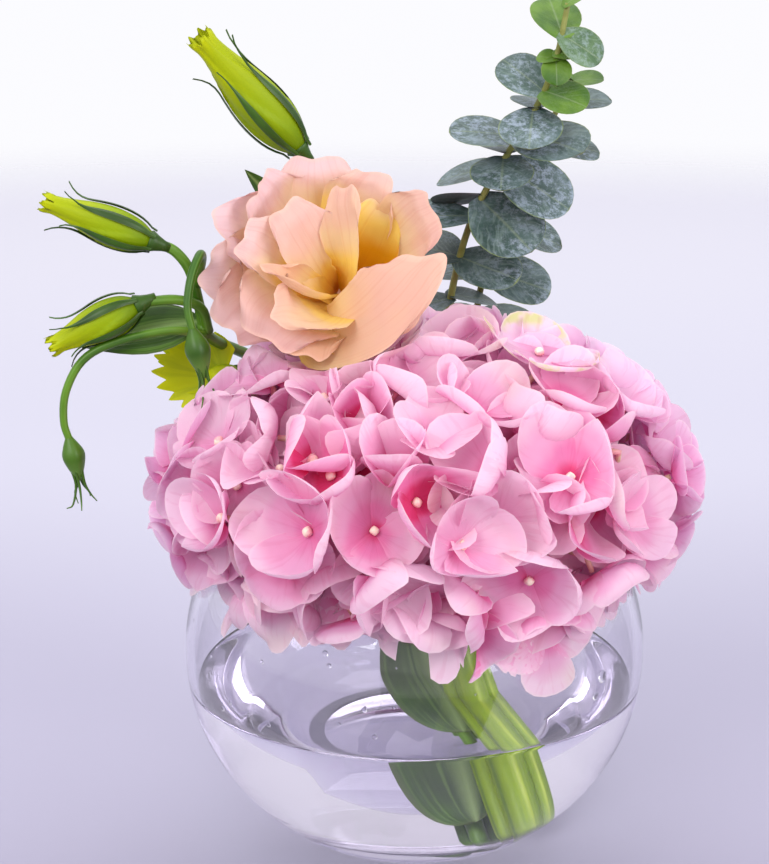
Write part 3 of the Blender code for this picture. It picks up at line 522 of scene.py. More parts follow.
def eucalyptus_look():
    """Waxy blue-green leaves with a whitish bloom, veins and a yellow-green margin; young ones bright."""
    look = Look("eucalyptus", 0.5)
    along, across, rim, tint = look.points("along", "across", "rim", "tint")
    under, young, stalk = look.points("under", "young", "stalk")
    side = look.math("ABSOLUTE", across)
    upper = look.ramp(look.noise(110.0, 4.0, roughness=0.6), (0.3, (48, 68, 62)), (0.5, (72, 92, 88)),
                      (0.75, (104, 122, 124)))
    slanted = look.math("SUBTRACT", along, look.times(side, 0.45))
    slanted = look.plus(slanted, look.shifted(look.noise(120.0, 2.0), 0.25))
    veins = look.streaks(2.0, look.times(slanted, 15.0), look.times(side, 1.5), look.times(tint, 30.0))
    upper = look.mix(look.level(veins, 0.50, 0.64, 0.0, 0.35), upper, (128, 146, 140))
    wax = look.level(look.noise(420.0, 6.0, roughness=0.8), 0.45, 0.62)
    wax = look.times(wax, look.level(look.noise(36.0, 2.0), 0.36, 0.60, 0.15, 1.0))
    upper = look.mix(look.times(wax, 0.7), upper, (170, 182, 200))
    lower = look.mottled(60.0, 3.0, (86, 92, 92), (118, 120, 126))
    base = look.mix(under, upper, lower)
    fresh = look.mottled(110.0, 4.0, (52, 92, 0), (96, 132, 6))
    base = look.mix(young, base, fresh)
    base = look.mix(look.level(side, 0.0, 0.07, 0.4, 0.0), base, (136, 150, 116))
    base = look.mix(look.level(rim, 0.95, 1.0, 0.0, 0.8), base, (124, 138, 72))
    base = look.mix(stalk, base, look.mottled(120.0, 3.0, (108, 110, 40), (150, 154, 84)))
    look.colour(base)
    look.plug(look.plus(look.times(wax, 0.25), 0.42), look.shader.inputs["Roughness"])
    look.set(Specular_IOR_Level=0.4)
    look.bump(look.plus(veins, wax), 0.3, 0.0006)
    return look.material


def clear_look(name, colour, ior):
    """Clear glass or water of a colour, smooth, which bends light by its index of refraction."""
    look = Look(name, 0.0, display(*colour))
    look.clear(ior)
    return look.material


# ---- bowl and water

def bowl_radius(height):
    """Outer radius of the bowl's wall at a height."""
    return BOWL_RADIUS * math.sqrt(1 - ((height - BELLY_HEIGHT) / BELLY_SEMI_HEIGHT) ** 2)


def turned(shape, profile):
    """Turns a profile of (radius, height) about Z into a closed skin. Its ends lie on the axis."""
    rows = [[on_ring(radius, turn, height) for turn in turns(BOWL_SIDES)] for radius, height in profile[1:-1]]
    shape.sheet(rows, closed=True)
    last = (len(rows) - 1) * BOWL_SIDES
    low, high = len(shape.points), len(shape.points) + 1
    shape.add([(0, 0, profile[0][1]), (0, 0, profile[-1][1])], [])
    for side in range(BOWL_SIDES):
        following = (side + 1) % BOWL_SIDES
        shape.faces.append((low, following, side))
        shape.faces.append((high, last + side, last + following))


def inner_bowl():
    """The inside of the bowl, from the middle of its floor up to below the rim, as (radius, height)."""
    floor = [(radius, FLOOR_HEIGHT + FLOOR_RISE * (radius / 40) ** 4) for radius in (0, 8, 16, 24, 30, 35)]
    heights = [WALL_FOOT + (RIM_HEIGHT - LIP_RADIUS - WALL_FOOT) * t for t in steps(34)]
    return floor + [(bowl_radius(z) - WALL, z) for z in heights]


def make_bowl():
    """The blown bowl: a hollow foot, the outer wall, a rounded lip, and the inside down to the floor."""
    foot = [(0, FOOT_HOLLOW), (BASE_RADIUS - 9, FOOT_HOLLOW), (BASE_RADIUS - 6, 0), (BASE_RADIUS - 1, 0)]
    heights = [LIP_RADIUS + (RIM_HEIGHT - 2 * LIP_RADIUS) * t for t in steps(40)]
    wall = [(bowl_radius(z), z) for z in heights]
    middle = bowl_radius(RIM_HEIGHT - LIP_RADIUS) - WALL / 2
    lip = [(middle + WALL / 2 * math.cos(turn), RIM_HEIGHT - LIP_RADIUS + LIP_RADIUS * math.sin(turn))
           for turn in [math.pi * t for t in steps(9)]][1:-1]
    bowl = Shape()
    turned(bowl, foot + wall + lip + inner_bowl()[::-1])
    bowl.made("glass", clear_look("clear_glass", (247, 245, 250), GLASS_IOR), "glass_bowl")


def make_water(look):
    """The water, a hair into the glass all round, whose surface creeps up the wall at its edge."""
    below = [(radius + OVERLAP if radius else 0, height - OVERLAP) for radius, height in inner_bowl()
             if height < WATER_LEVEL + MENISCUS_RISE]
    edge = bowl_radius(WATER_LEVEL + MENISCUS_RISE) - WALL
    below.append((edge + OVERLAP, WATER_LEVEL + MENISCUS_RISE))
    surface = []
    for inwards in (0.0, 0.3, 0.7, 1.2, 2.0, 3.0, 4.5, 7.0, 12.0, 30.0, edge):
        rise = MENISCUS_RISE * math.exp(-inwards / MENISCUS_WIDTH)
        surface.append((max(0, edge - inwards), WATER_LEVEL + rise))
    water = Shape()
    turned(water, below + surface)
    water.made("clear_water", look, "water")


def make_drops(look):
    """Beads of water left on the inside of the glass above the water, with a thick patch at the left."""
    rng = random.Random(12)
    drops = Shape()
    # azimuth, height and size of each bead: the patch, those strewn all round, and a few larger ones in front
    spots = [(rng.gauss(196, 9), rng.uniform(84, 96), rng.uniform(0.4, 1.3)) for _ in range(46)]
    spots += [(rng.uniform(0, 360), rng.uniform(50, 92), rng.uniform(0.3, 0.9)) for _ in range(60)]
    spots += [(-38, 62, 1.9), (-41, 57, 1.2), (-100, 54, 0.8), (-128, 52, 0.7), (-145, 51, 0.9)]
    for azimuth, height, size in spots:
        outward = on_ring(1, math.radians(azimuth))
        place = outward * (bowl_radius(height) - WALL + 0.1) + Vector((0, 0, height))
        flatness = rng.uniform(0.35, 0.6)
        turn = frame_along(-outward)
        rows = [[place + turn @ on_ring(size * math.cos(lift), a, size * flatness * math.sin(lift))
                 for a in turns(12)] for lift in (0, 0.35, 0.7, 1.1, 1.45)]
        drops.barrel(rows, open_foot=True)
    drops.made("water_drops", look)


# ---- what the florets bend clear of

def egg_reach(direction, side, front, back, up, down):
    """How far an egg-shaped surface lies from its centre in a direction."""
    depth = front if direction.y < 0 else back
    rise = up if direction.z > 0 else down
    return 1 / math.sqrt((direction.x / side) ** 2 + (direction.y / depth) ** 2 + (direction.z / rise) ** 2)


def clear_of_bowl(place):
    """The place, moved up or out so that it hangs over the rim and down the outside of the bowl."""
    radius = math.hypot(place.x, place.y)
    rim_middle, shoulder = bowl_radius(RIM_HEIGHT) - WALL / 2, RIM_HEIGHT - SHOULDER_DROP
    if radius < rim_middle:
        lift = math.sqrt(max(0, RIM_CLEARANCE**2 - (rim_middle - radius) ** 2))
        return Vector((place.x, place.y, max(place.z, shoulder + lift)))
    if place.z > shoulder:
        away = Vector((radius - rim_middle, place.z - shoulder))
        if away.length >= RIM_CLEARANCE:
            return place
        away = away.normalized() * RIM_CLEARANCE
        goal, height = rim_middle + away.x, shoulder + away.y
    else:
        goal, height = max(radius, bowl_radius(place.z) + PETAL_CLEARANCE), place.z
    return Vector((place.x * goal / radius, place.y * goal / radius, height))


def bent_clear(place, beds, slack=0.0):
    """The place, kept inside the head's hull, widened by the slack, and clear of the bowl and each bed."""
    reach = place - HEAD_CENTRE
    limit = egg_reach(reach.normalized(), **HULL) * (1 + slack)
    share = reach.length / limit - 1 + HULL_MARGIN
    if share > 0:
        held = limit * (1 - HULL_MARGIN + HULL_MARGIN * math.tanh(share / HULL_MARGIN))
        place = HEAD_CENTRE + reach.normalized() * held
    place = clear_of_bowl(place)
    for centre, semi_axes in beds:
        away = Vector([(p - c) / s for p, c, s in zip(place, centre, semi_axes)])
        if away.length < 1:
            away.normalize()
            place = Vector([c + a * s for a, c, s in zip(away, centre, semi_axes)])
    return place


def beds_along(route, radius):
    """Round beds along a stem's route."""
    return [(place, Vector((radius, radius, radius))) for place in smooth_route(route, 3)]


# ---- hydrangea

SEPAL_RINGS = 7
SEPAL_RAYS = 17
SEPAL_SPREAD = math.radians(80)  # of its outline to each side, seen from the floret's heart
SEPAL_CUPS = (-0.6, 0.3, 0.8, 1.3, 2.0)  # rise of a sepal 10 mm to the side of its middle
HEART_LIFT = 2.0  # of the front florets, off the egg
EDGE_SHARE = 0.06  # least share of the egg's depth, squared, at which a front floret sits
FILLER_SEED = 7
FILLER_COUNT = 260
FILLER_SPAN = 1.78  # of the 2 from the top of the head to its bottom
LEAST_SPACING = 9.5  # from one floret's heart to the next
HALF_OPEN_SHARE = 0.3
# of the fillers: least and most reach, lean at the foot and lean at the lip
HALF_OPEN_FILLER = ((14, 19), (38, 62), (50, 82))
OPEN_FILLER = ((17, 23), (4, 26), (-15, 25))
UNDER_COUNT = 90
UNDER_SPAN = 1.7
UNDER_START = 1.1  # turn of the first one, so that they lie between the fillers
UNDER_DEPTH = 10.0  # of the florets that fill the gaps from below
CREAM_FLORET = (34, 152)
# a floret that hangs lower than the rest over the front of the bowl: its heart, the way it faces, its reach,
# and the share by which it may pass the head's hull
HANGING_HEART = Vector((34, -52, 80))
HANGING_FACE = Vector((0.15, -0.97, -0.15))
HANGING_REACH = 16.5
HANGING_SLACK = 0.35
LEAST_ASIDE = 4.0  # of a neighbour that the sepals turn up at
RANK_SHARE = 0.22  # by which the plane between two florets moves for each step of rank
OVERLAP_ALLOWED = 4.5  # past that plane
FOLD_SOFTNESS = 1.5
FOLD_UP = 0.42  # of what lies past the plane, along the face
FOLD_BACK = 0.50  # of it, back from the plane
# florets that show in full at the front: x and height of the heart, turn of the first sepal (0 is right and
# 90 up), reach, lean at the foot and at the lip, which way the face turns from straight out (right and up),
# and its rank, by which it lies over its neighbours
FRONT_FLORETS = [
    (3, 138, 80, 15, 20, 44, 0.15, 0.2, 0.7), (41, 127, 35, 26, 4, 14, -0.3, 0.1, 1.0),
    (14, 143, 90, 21, 12, 30, 0.7, 0.8, 0.2), (-3, 125, 130, 21, 18, 16, 0.9, -0.2, 0.2),
    (10, 114, 15, 21, 26, 8, 0.5, 0.2, 0.1), (1, 92, 20, 26, 8, -16, -0.15, 0.0, 0.9),
    (31, 103, 75, 23, 16, 0, -0.4, 0.3, 0.6), (48, 100, -30, 24, 8, -6, 0.4, -0.4, 0.4),
    (-27, 116, 175, 26, 14, 22, -0.7, 0.1, 0.8), (-21, 129, 140, 22, 18, 4, -0.8, 0.4, 0.2),
    (-6, 147, 100, 22, 10, 36, 0.8, 0.5, 0.4), (-40, 144, 60, 17, 12, 20, -0.1, 0.3, 0.2),
    (-65, 124, 20, 21, 8, 10, -0.4, 0.4, 0.5), (-66, 101, 50, 20, 10, -6, -0.5, -0.3, 0.4),
    (-51, 115, 70, 22, 22, 16, -0.9, 0.2, 0.0), (-33, 94, 230, 19, 8, -8, -0.6, -0.4, 0.3),
    (34, 152, 50, 25, 4, 0, 0.1, 0.6, 0.9), (10, 152, 110, 22, 10, 6, -0.2, 0.7, 0.6),
    (58, 137, 30, 23, 12, 4, 0.4, 0.6, 0.4), (71, 119, 45, 18, 26, 40, 0.3, 0.2, 0.2),
    (71, 103, 20, 18, 18, 20, 0.4, -0.2, 0.2), (22, 130, 65, 21, 36, 26, -0.9, 0.2, 0.0),
    (40, 142, 10, 20, 18, 14, 0.6, 0.8, 0.1), (28, 90, 285, 25, 4, -20, 0.2, -0.3, 0.7),
    (56, 92, 300, 18, 4, -12, 0.4, -0.3, 0.3), (-53, 131, 50, 19, 12, 14, -0.4, 0.5, 0.2),
    (-30, 131, 20, 21, 26, 20, 0.8, 0.6, 0.1), (-14, 106, 45, 21, 32, 20, 0.9, -0.1, 0.1),
    (-16, 90, 260, 20, 6, -14, 0.5, -0.4, 0.2), (17, 99, 60, 20, 28, 20, -0.8, 0.2, 0.0),
    (-50, 94, 250, 17, 6, -10, -0.3, -0.1, 0.2), (41, 84, 285, 25, 6, -14, 0.1, -0.2, 0.5),
]


class Floret:
    """Where a floret's heart is, which way it faces, and how its sepals leave it."""

    def __init__(self, heart, face, spin, reach, foot, lip, rank, cream=0.0, slack=0.0):
        self.heart, self.face, self.spin, self.reach = heart, face, spin, reach
        self.foot, self.lip, self.rank, self.cream, self.slack = foot, lip, rank, cream, slack
        self.neighbours = []

    def meet(self, others):
        """Notes the planes, one towards each floret nearby, at which the sepals have to turn up."""
        for other in others:
            away = other.heart - self.heart
            if other is self or away.length > self.reach + other.reach:
                continue
            toward = away - away.dot(self.face) * self.face
            if toward.length > LEAST_ASIDE:
                share = 0.5 + RANK_SHARE * (self.rank - other.rank)
                self.neighbours.append((toward.normalized(), toward.length * share + OVERLAP_ALLOWED))

    def folded(self, place):
        """The place, turned up along the face where it would cross one of those planes."""
        for toward, limit in self.neighbours:
            over = (place - self.heart).dot(toward) - limit
            if over > -2 * FOLD_SOFTNESS:
                over = FOLD_SOFTNESS * math.log1p(math.exp(min(30, over / FOLD_SOFTNESS)))
                place = place + over * (FOLD_UP * self.face - FOLD_BACK * toward)
        return place


def head_normal(place):
    """The outward direction of the egg that the hearts lie on."""
    away = place - HEAD_CENTRE
    depth = CENTRES["front"] if away.y < 0 else CENTRES["back"]
    rise = CENTRES["up"] if away.z > 0 else CENTRES["down"]
    return Vector((away.x / CENTRES["side"] ** 2, away.y / depth**2, away.z / rise**2)).normalized()


def front_of_head(x, height):
    """The place on the front of that egg, or near its edge for one beyond it."""
    rise = CENTRES["up"] if height > HEAD_CENTRE.z else CENTRES["down"]
    left = 1 - ((x - HEAD_CENTRE.x) / CENTRES["side"]) ** 2 - ((height - HEAD_CENTRE.z) / rise) ** 2
    return Vector((x, HEAD_CENTRE.y - CENTRES["front"] * math.sqrt(max(EDGE_SHARE, left)), height))


def spread_direction(index, count, span, start=0.0):
    """One of so many directions, which wind evenly from straight up down through a span of heights."""
    height = 1 - span * (index + 0.5) / count
    return on_ring(math.sqrt(1 - height**2), GOLDEN_ANGLE * index + start, height)


def random_lean(rng, most):
    """A push to add to a direction, of up to so much along each axis."""
    return Vector([rng.uniform(-most, most) for _ in range(3)])


def outer_florets(rng, beds):
    """The florets seen in full at the front, then fillers wherever there is room between them."""
    florets = []
    for x, height, spin, reach, foot, lip, right, up, rank in FRONT_FLORETS:
        heart = front_of_head(x, height)
        face = (head_normal(heart) + Vector((right, 0, up))).normalized()
        cream = 1.0 if (x, height) == CREAM_FLORET else 0.0
        heart = bent_clear(heart + face * HEART_LIFT, beds)
        florets.append(Floret(heart, face, math.radians(spin), reach, foot, lip, rank, cream))
    for index in range(FILLER_COUNT):
        direction = spread_direction(index, FILLER_COUNT, FILLER_SPAN)
        heart = HEAD_CENTRE + direction * (egg_reach(direction, **CENTRES) - rng.uniform(1, 5))
        lean = random_lean(rng, 0.95)
        reaches, feet, lips = HALF_OPEN_FILLER if rng.random() < HALF_OPEN_SHARE else OPEN_FILLER
        foot, lip = rng.uniform(*feet), rng.uniform(*lips)
        filler = Floret(bent_clear(heart, beds), (head_normal(heart) + lean).normalized(),
                        rng.uniform(0, math.tau), rng.uniform(*reaches), foot, lip, rng.uniform(0, 0.6))
        if min((heart - other.heart).length for other in florets) > LEAST_SPACING:
            florets.append(filler)
    for floret in florets:
        floret.meet(florets)
    hanging = Floret(HANGING_HEART, HANGING_FACE.normalized(), -math.pi / 2, HANGING_REACH, 3, -4, 0.0,
                     slack=HANGING_SLACK)
    return florets + [hanging]


def under_florets(rng, beds):
    """Plain florets a little deeper, which fill the gaps between the outer ones."""
    florets = []
    for index in range(UNDER_COUNT):
        direction = spread_direction(index, UNDER_COUNT, UNDER_SPAN, UNDER_START)
        heart = HEAD_CENTRE + direction * (egg_reach(direction, **CENTRES) - UNDER_DEPTH)
        lean = random_lean(rng, 0.3)
        florets.append(Floret(bent_clear(heart, beds), (direction + lean).normalized(),
                              rng.uniform(0, math.tau), rng.uniform(15, 18), rng.uniform(8, 20),
                              rng.uniform(0, 20), 0.0))
    return florets


def add_sepal(shape, floret, azimuth, length, width, foot, lip, rng, beds, numbers):
    """One rounded sepal: a fan of rays that leave the floret's heart at one lean and end at another."""
    foot, lip = math.radians(foot), math.radians(lip)
    if abs(lip - foot) < 0.01:
        lip = foot + 0.01
    turn = frame_along(floret.face, Vector((math.cos(floret.spin), 0, math.sin(floret.spin))))
    turn = turn @ Matrix.Rotation(azimuth, 3, "Z")
    cup = rng.choice(SEPAL_CUPS) * rng.uniform(0.8, 1.2)
    twist, ruffle = rng.gauss(0, 1.6), rng.uniform(0.4, 1.6)
    phase, point = rng.uniform(0, math.tau), rng.uniform(0.0, 0.12)
    rows, alongs, acrosses, rims = [], [], [], []
    for share in steps(SEPAL_RINGS):
        row = []
        for ray in steps(SEPAL_RAYS):
            angle = SEPAL_SPREAD * (2 * ray - 1)
            wavy = 1 + 0.025 * math.sin(5 * angle + phase) + point * math.cos(angle) ** 9
            edge = math.cos(angle) ** 0.8 * wavy
            out = share * length * edge * math.cos(angle)
            side = share * width * edge * math.sin(angle)
            lean = foot + (lip - foot) * out / length
            lift = cup * (side / 10) ** 2 + twist * side * out / 150
            lift += ruffle * share**3 * math.sin(3.3 * angle + phase)
            ahead = length * (math.sin(lean) - math.sin(foot)) / (lip - foot)
            rise = length * (math.cos(foot) - math.cos(lean)) / (lip - foot)
            flat = Vector((0.7 + ahead - lift * math.sin(lean), side, 0.8 + rise + lift * math.cos(lean)))
            row.append(bent_clear(floret.folded(floret.heart + turn @ flat), beds, floret.slack))
            alongs.append(share * edge)
            acrosses.append(2 * ray - 1)
            rims.append(share)
        rows.append(row)
    shape.sheet(rows, along=alongs, across=acrosses, rim=rims, **numbers)


def add_bead(beads, floret, size):
    """The closed fertile flower: a small bead with four faint lobes."""
    turn = frame_along(floret.face)
    rows = []
    for t in steps(7):
        lift = math.pi * (t - 0.5) * 0.98
        rows.append([floret.heart + floret.face * 0.6 + turn @ on_ring(
            size * math.cos(lift) * (1 + 0.10 * math.cos(4 * a)), a, size * (1.0 + 0.9 * math.sin(lift)))
            for a in turns(12)])
    beads.barrel(rows)


def add_floret(sepals, beads, stalks, floret, rng, beds):
    """Four sepals about a bead, on a thin stalk that runs back to the head's stem."""
    # painted shade: deeper in the head and at its sides, where less light reaches, the sepals are painted
    # more lilac
    lilac = max(ease(floret.heart.y, -46, -12), 0.9 * ease(abs(floret.heart.x - HEAD_CENTRE.x), 50, 76))
    tint = rng.random()
    for lobe in range(4):
        over = 5 if lobe % 2 else -2
        size = floret.reach * rng.uniform(0.9, 1.06)
        numbers = {"tint": tint + rng.uniform(-0.2, 0.2), "lilac": lilac * rng.uniform(0.75, 1.0),
                   "cream": floret.cream}
        add_sepal(sepals, floret, math.tau * lobe / 4 + rng.uniform(-0.12, 0.12), size,
                  size * rng.uniform(0.86, 1.12), floret.foot + over + rng.uniform(-4, 4),
                  floret.lip + over + rng.uniform(-10, 10), rng, beds, numbers)
    add_bead(beads, floret, rng.uniform(1.2, 1.6))
    middle = STEM_TOP.lerp(floret.heart, 0.55) + Vector((0, 0, 3))
    start = STEM_TOP + Vector((0, 0, 2))
    route = smooth_route([start, middle, floret.heart - floret.face * 6, floret.heart], 3)
    stalks.tube([clear_of_bowl(place) for place in route], [1.3 - 0.5 * t for t in steps(len(route))], 6)


def make_hydrangea(beds):
    """The head: outer and inner florets as two pieces, and their beads and stalks as one each."""
    rng = random.Random(FILLER_SEED)
    beads, stalks, look = Shape(), Shape(), sepal_look()
    for name, florets in (("outer", outer_florets(rng, beds)), ("inner", under_florets(rng, beds))):
        sepals = Shape()
        for floret in florets:
            add_floret(sepals, beads, stalks, floret, rng, beds)
        sepals.made("hydrangea_" + name, look, "hydrangea_head")
    beads.made("hydrangea_beads", bead_look(), "hydrangea_head")
    stalks.made("hydrangea_stalks", stalk_look(), "hydrangea_head")


def make_hydrangea_stem():
    """The bright stem and two thinner ones beside it, which draw in towards it above the water."""
    shape = Shape()
    for across, away, radius in ((0, 0, 4.6), (-6.2, 2.5, 2.9), (5.4, 3.0, 2.6)):
        route = [Vector(place) + Vector((across, away, 0)) * min(1.0, 1.6 - place[2] / 70)
                 for place in HYDRANGEA_STEM[:-1]]
        add_stem(shape, route, radius, radius, 24)
    shape.made("hydrangea_stalk", bright_stem_look(), "hydrangea_stem")


# ---- lisianthus bloom

BLADE_STEP = 7  # rows between the points of a petal's spine
BLADE_COLUMNS = 23
LIP_ROLL = 2.4  # of the lip, back from the inner face
# of each petal: points of its spine from the foot to the lip, half-width at each, the way its inner face
# looks, curl across (the angle at its edge), ruffle, how rosy it is, and for two of them the rounding of the
# lip and how far the colours shift towards the lip's, or below 0 towards the foot's
OUTER_BLADES = [
    ([(-24, 12, 164), (-27, 10, 180), (-29, 5, 195), (-29, 2, 206)], (6, 14, 18, 14),
     (0.1, -0.85, 0.5), 0.5, 2.0, 0.9),
    ([(-26, 12, 164), (-34, 7, 179), (-41, -1, 192), (-44, -7, 200)], (6, 13, 16, 12),
     (0.35, -0.85, 0.35), 0.6, 2.2, 1.0),
    ([(-26, 12, 164), (-38, 6, 175), (-49, -3, 185), (-56, -10, 189)], (6, 13, 15, 12),
     (0.5, -0.8, 0.3), 0.6, 2.4, 1.0),
    ([(-26, 12, 163), (-40, 4, 168), (-52, -8, 173), (-60, -14, 175)], (6, 13, 15, 12),
     (0.45, -0.85, 0.3), 0.5, 2.2, 0.9),
    ([(-25, 12, 162), (-38, 0, 163), (-48, -14, 164), (-54, -22, 161)], (6, 12, 15, 12),
     (0.3, -0.8, 0.5), 0.6, 2.2, 0.7),
    ([(-24, 8, 162), (-28, -14, 161), (-30, -28, 160), (-30, -36, 157)], (6, 12, 14, 10),
     (0, -0.6, 0.8), 0.4, 1.2, 0.0),
    ([(-22, 10, 166), (-18, 5, 182), (-14, -1, 195), (-12, -4, 202)], (6, 11, 13, 10),
     (-0.2, -0.9, 0.4), 0.7, 1.6, 0.5),
    ([(-21, 8, 165), (-10, -2, 178), (-1, -10, 188), (4, -17, 194)], (5, 9, 12, 12),
     (-0.6, -0.8, 0.15), 0.7, 1.4, 0.3),
]
INNER_BLADES = [
    ([(-23, 6, 162), (-27, -20, 157), (-16, -33, 164), (-5, -37, 174), (4, -33, 186)], (5, 9, 12.5, 14, 14),
     (-0.5, -0.7, 0.5), 0.5, 0.7, 0.1, 0.30, 0.32),
    ([(-22, 8, 166), (-15, -2, 179), (-9, -6, 193)], (6, 11, 10),
     (-0.25, -0.95, 0.1), 0.6, 0.8, 0.0, 0.2, -0.45),
    ([(-24, 6, 163), (-32, -14, 165), (-38, -28, 166), (-43, -35, 161)], (6, 13, 17, 14),
     (0.1, -0.75, 0.65), 0.5, 2.0, 0.5),
    ([(-22, 2, 166), (-19, -17, 176), (-20, -22, 189), (-22, -19, 202)], (4, 6, 8, 9),
     (-0.6, -0.75, 0.2), 1.0, 1.2, 0.2),
    ([(-23, 2, 166), (-26, -15, 176), (-31, -21, 187), (-37, -20, 197)], (5, 9, 11, 11),
     (0.3, -0.9, 0.35), 0.7, 1.8, 0.5),
    ([(-22, 4, 164), (-20, -18, 160), (-11, -25, 164), (0, -25, 170)], (5, 11, 13, 10),
     (-0.2, -0.6, 0.8), 0.4, 0.8, 0.2),
    ([(-24, 2, 166), (-34, -14, 176), (-42, -22, 184), (-49, -25, 189)], (5, 10, 12, 11),
     (0.3, -0.8, 0.5), 0.8, 2.2, 0.8),
    ([(-24, 0, 166), (-30, -22, 171), (-36, -30, 176), (-42, -31, 182)], (4, 7, 8, 6),
     (0.55, -0.5, 0.65), 1.9, 0.6, 0.0),
    ([(-23, 0, 165), (-27, -22, 166), (-33, -34, 169), (-39, -39, 172)], (6, 11, 14, 11),
     (0.1, -0.55, 0.8), 0.6, 1.6, 0.2),
]


def add_blade(bloom, rng, spine, halves, inward, curl, ruffle, blush, rounding=0.24, fading=0.0):
    """A petal along a spine, curled across it, with a rounded, rolled and ruffled lip and fine creases."""
    route = smooth_route(spine, BLADE_STEP)
    inward = Vector(inward).normalized()
    knots = list(zip(steps(len(halves)), halves))
    phase, drift = rng.uniform(0, math.tau), Vector([rng.uniform(0, 50) for _ in range(3)])
    rows, alongs, acrosses, rims = [], [], [], []
    for along in steps(len(route)):
        row = []
        for across in [2 * t - 1 for t in steps(BLADE_COLUMNS)]:
            corner = rounding * (1 - math.sqrt(1 - 0.96 * across**2))
            shrink = 1 - (corner + 0.03 * math.sin(5 * across + phase)) * ease(along, 0.35, 1.0)
            at = along * shrink * (len(route) - 1)
            index = min(int(at), len(route) - 2)
            tangent = (route[index + 1] - route[index]).normalized()
            side = tangent.cross(inward).normalized()
            out = side.cross(tangent)
            half = along_curve(knots, along) * (1 - 0.18 * ease(along, 0.8, 1.0))
            place = route[index].lerp(route[index + 1], at - index)
            place = place + side * half * math.sin(across * curl) / curl
            place = place + out * half * (1 - math.cos(across * curl)) / curl
            ripple = math.sin(3.3 * across + phase) + 0.45 * along**3 * math.sin(9 * across + 2 * phase)
            wave = ruffle * along**2 * ripple
            crease = 0.5 * ruffle * along * noise.noise((place + drift) * 0.14)
            crease += 0.25 * ruffle * noise.noise((place + drift) * 0.45)
            roll = LIP_ROLL * ease(along, 0.82, 1.0) ** 2
            row.append(place + out * (0.7 * wave + crease - roll))
            alongs.append(along * (1 - 0.15 * across**2) + fading)
            acrosses.append(across)
            rims.append(max(abs(across), ease(along, 0.7, 1.0)) * ease(along, 0.2, 0.6))
        rows.append(row)
    bloom.sheet(rows, along=alongs, across=acrosses, rim=rims, blush=blush, tint=rng.random())


def make_bloom():
    """The open bloom: its petals about a swollen foot."""
    rng = random.Random(4)
    bloom = Shape()
    for blade in OUTER_BLADES + INNER_BLADES:
        add_blade(bloom, rng, *blade)
    route = [BLOOM_BASE + BLOOM_AXIS * t for t in (-2, -0.5, 1, 3, 6)]
    bloom.tube(route, [2.8, 4.6, 5.6, 5.2, 3.4], 20, blush=0.0)
    bloom.made("lisianthus_petals", petal_look(), "lisianthus_bloom")


# ---- stems and leaves

LEAF_THICKNESS = 0.5


def add_stem(shape, points, start, end, sides=14):
    """A tapering stem along a smooth route, with numbers for the streaks along it."""
    route = smooth_route(points, 5)
    count = len(route)
    shape.tube(route, [start + (end - start) * i / (count - 1) for i in range(count)], sides, tint=0.0,
               across=[j / sides for _ in range(count) for j in range(sides)])


def pointed_width(along):
    """Share of a lisianthus leaf's full width: pointed at both ends."""
    return math.sin(math.pi * along**0.85) ** 0.9 if 0 < along < 1 else 0.0


def round_width(along):
    """Share of a eucalyptus leaf's full width: a short claw, broad, then a blunt round end."""
    if along < 0.52:
        return 0.3 + 0.7 * math.sin(math.pi / 2 * along / 0.52) ** 0.9
    return (1 - ((along - 0.52) / 0.48) ** 2.6) ** 0.5 if along < 1 else 0.0


def add_leaf(shape, base, direction, normal, length, width, outline, sag=0.0, fold=0.0, curl=0.0,
             rows_count=15, columns=9, **numbers):
    """A leaf with a folded middle and two faces a little apart."""
    direction = direction.normalized()
    normal = (normal - normal.dot(direction) * direction).normalized()
    side = direction.cross(normal)
    top, below, alongs, acrosses, rims = [], [], [], [], []
    for i in range(rows_count):
        along = 0.5 - 0.5 * math.cos(math.pi * i / (rows_count - 1))
        share = outline(along)
        upper, lower = [], []
        for j in range(columns):
            across = math.sin(math.pi / 2 * (2 * j / (columns - 1) - 1))
            edge = max(abs(across) ** 2, 1 - share if along > 0.5 else 0.0)
            lift = fold * share * abs(across) ** 1.5 - sag * along**2
            lift += curl * math.sin(5 * along + 2 * across) * along
            place = base + direction * length * along + side * width / 2 * share * across + normal * lift
            gap = normal * LEAF_THICKNESS / 2 * (1 - edge**2)
            upper.append(place + gap)
            lower.append(place - gap)
            alongs.append(along)
            acrosses.append(across)
            rims.append(max(abs(across), ease(along, 0.86, 1.0)))
        top.append(upper)
        below.append(lower)
    midribs = [1 - ease(abs(across), 0.0, 0.22) for across in acrosses]
    shape.sheet(top, along=alongs, across=acrosses, rim=rims, midrib=midribs, under=0.0, **numbers)
    shape.sheet([row[::-1] for row in below], along=alongs, across=[-a for a in acrosses], rim=rims,
                midrib=midribs, under=1.0, **numbers)


def facing(azimuth, rise, roll):
    """A leaf's direction and the normal of its upper side, from angles in degrees."""
    azimuth, rise, roll = (math.radians(angle) for angle in (azimuth, rise, roll))
    direction = on_ring(math.cos(rise), azimuth, math.sin(rise))
    upper = Vector((0, 0, 1)) - direction * direction.z
    return direction, Matrix.Rotation(roll if direction.x > 0 else -roll, 3, direction) @ upper


def point_at_height(route, height):
    """The first place where a route passes a height, or its end."""
    for low, high in zip(route, route[1:]):
        if low.z <= height <= high.z:
            return low.lerp(high, (height - low.z) / (high.z - low.z))
    return route[-1]


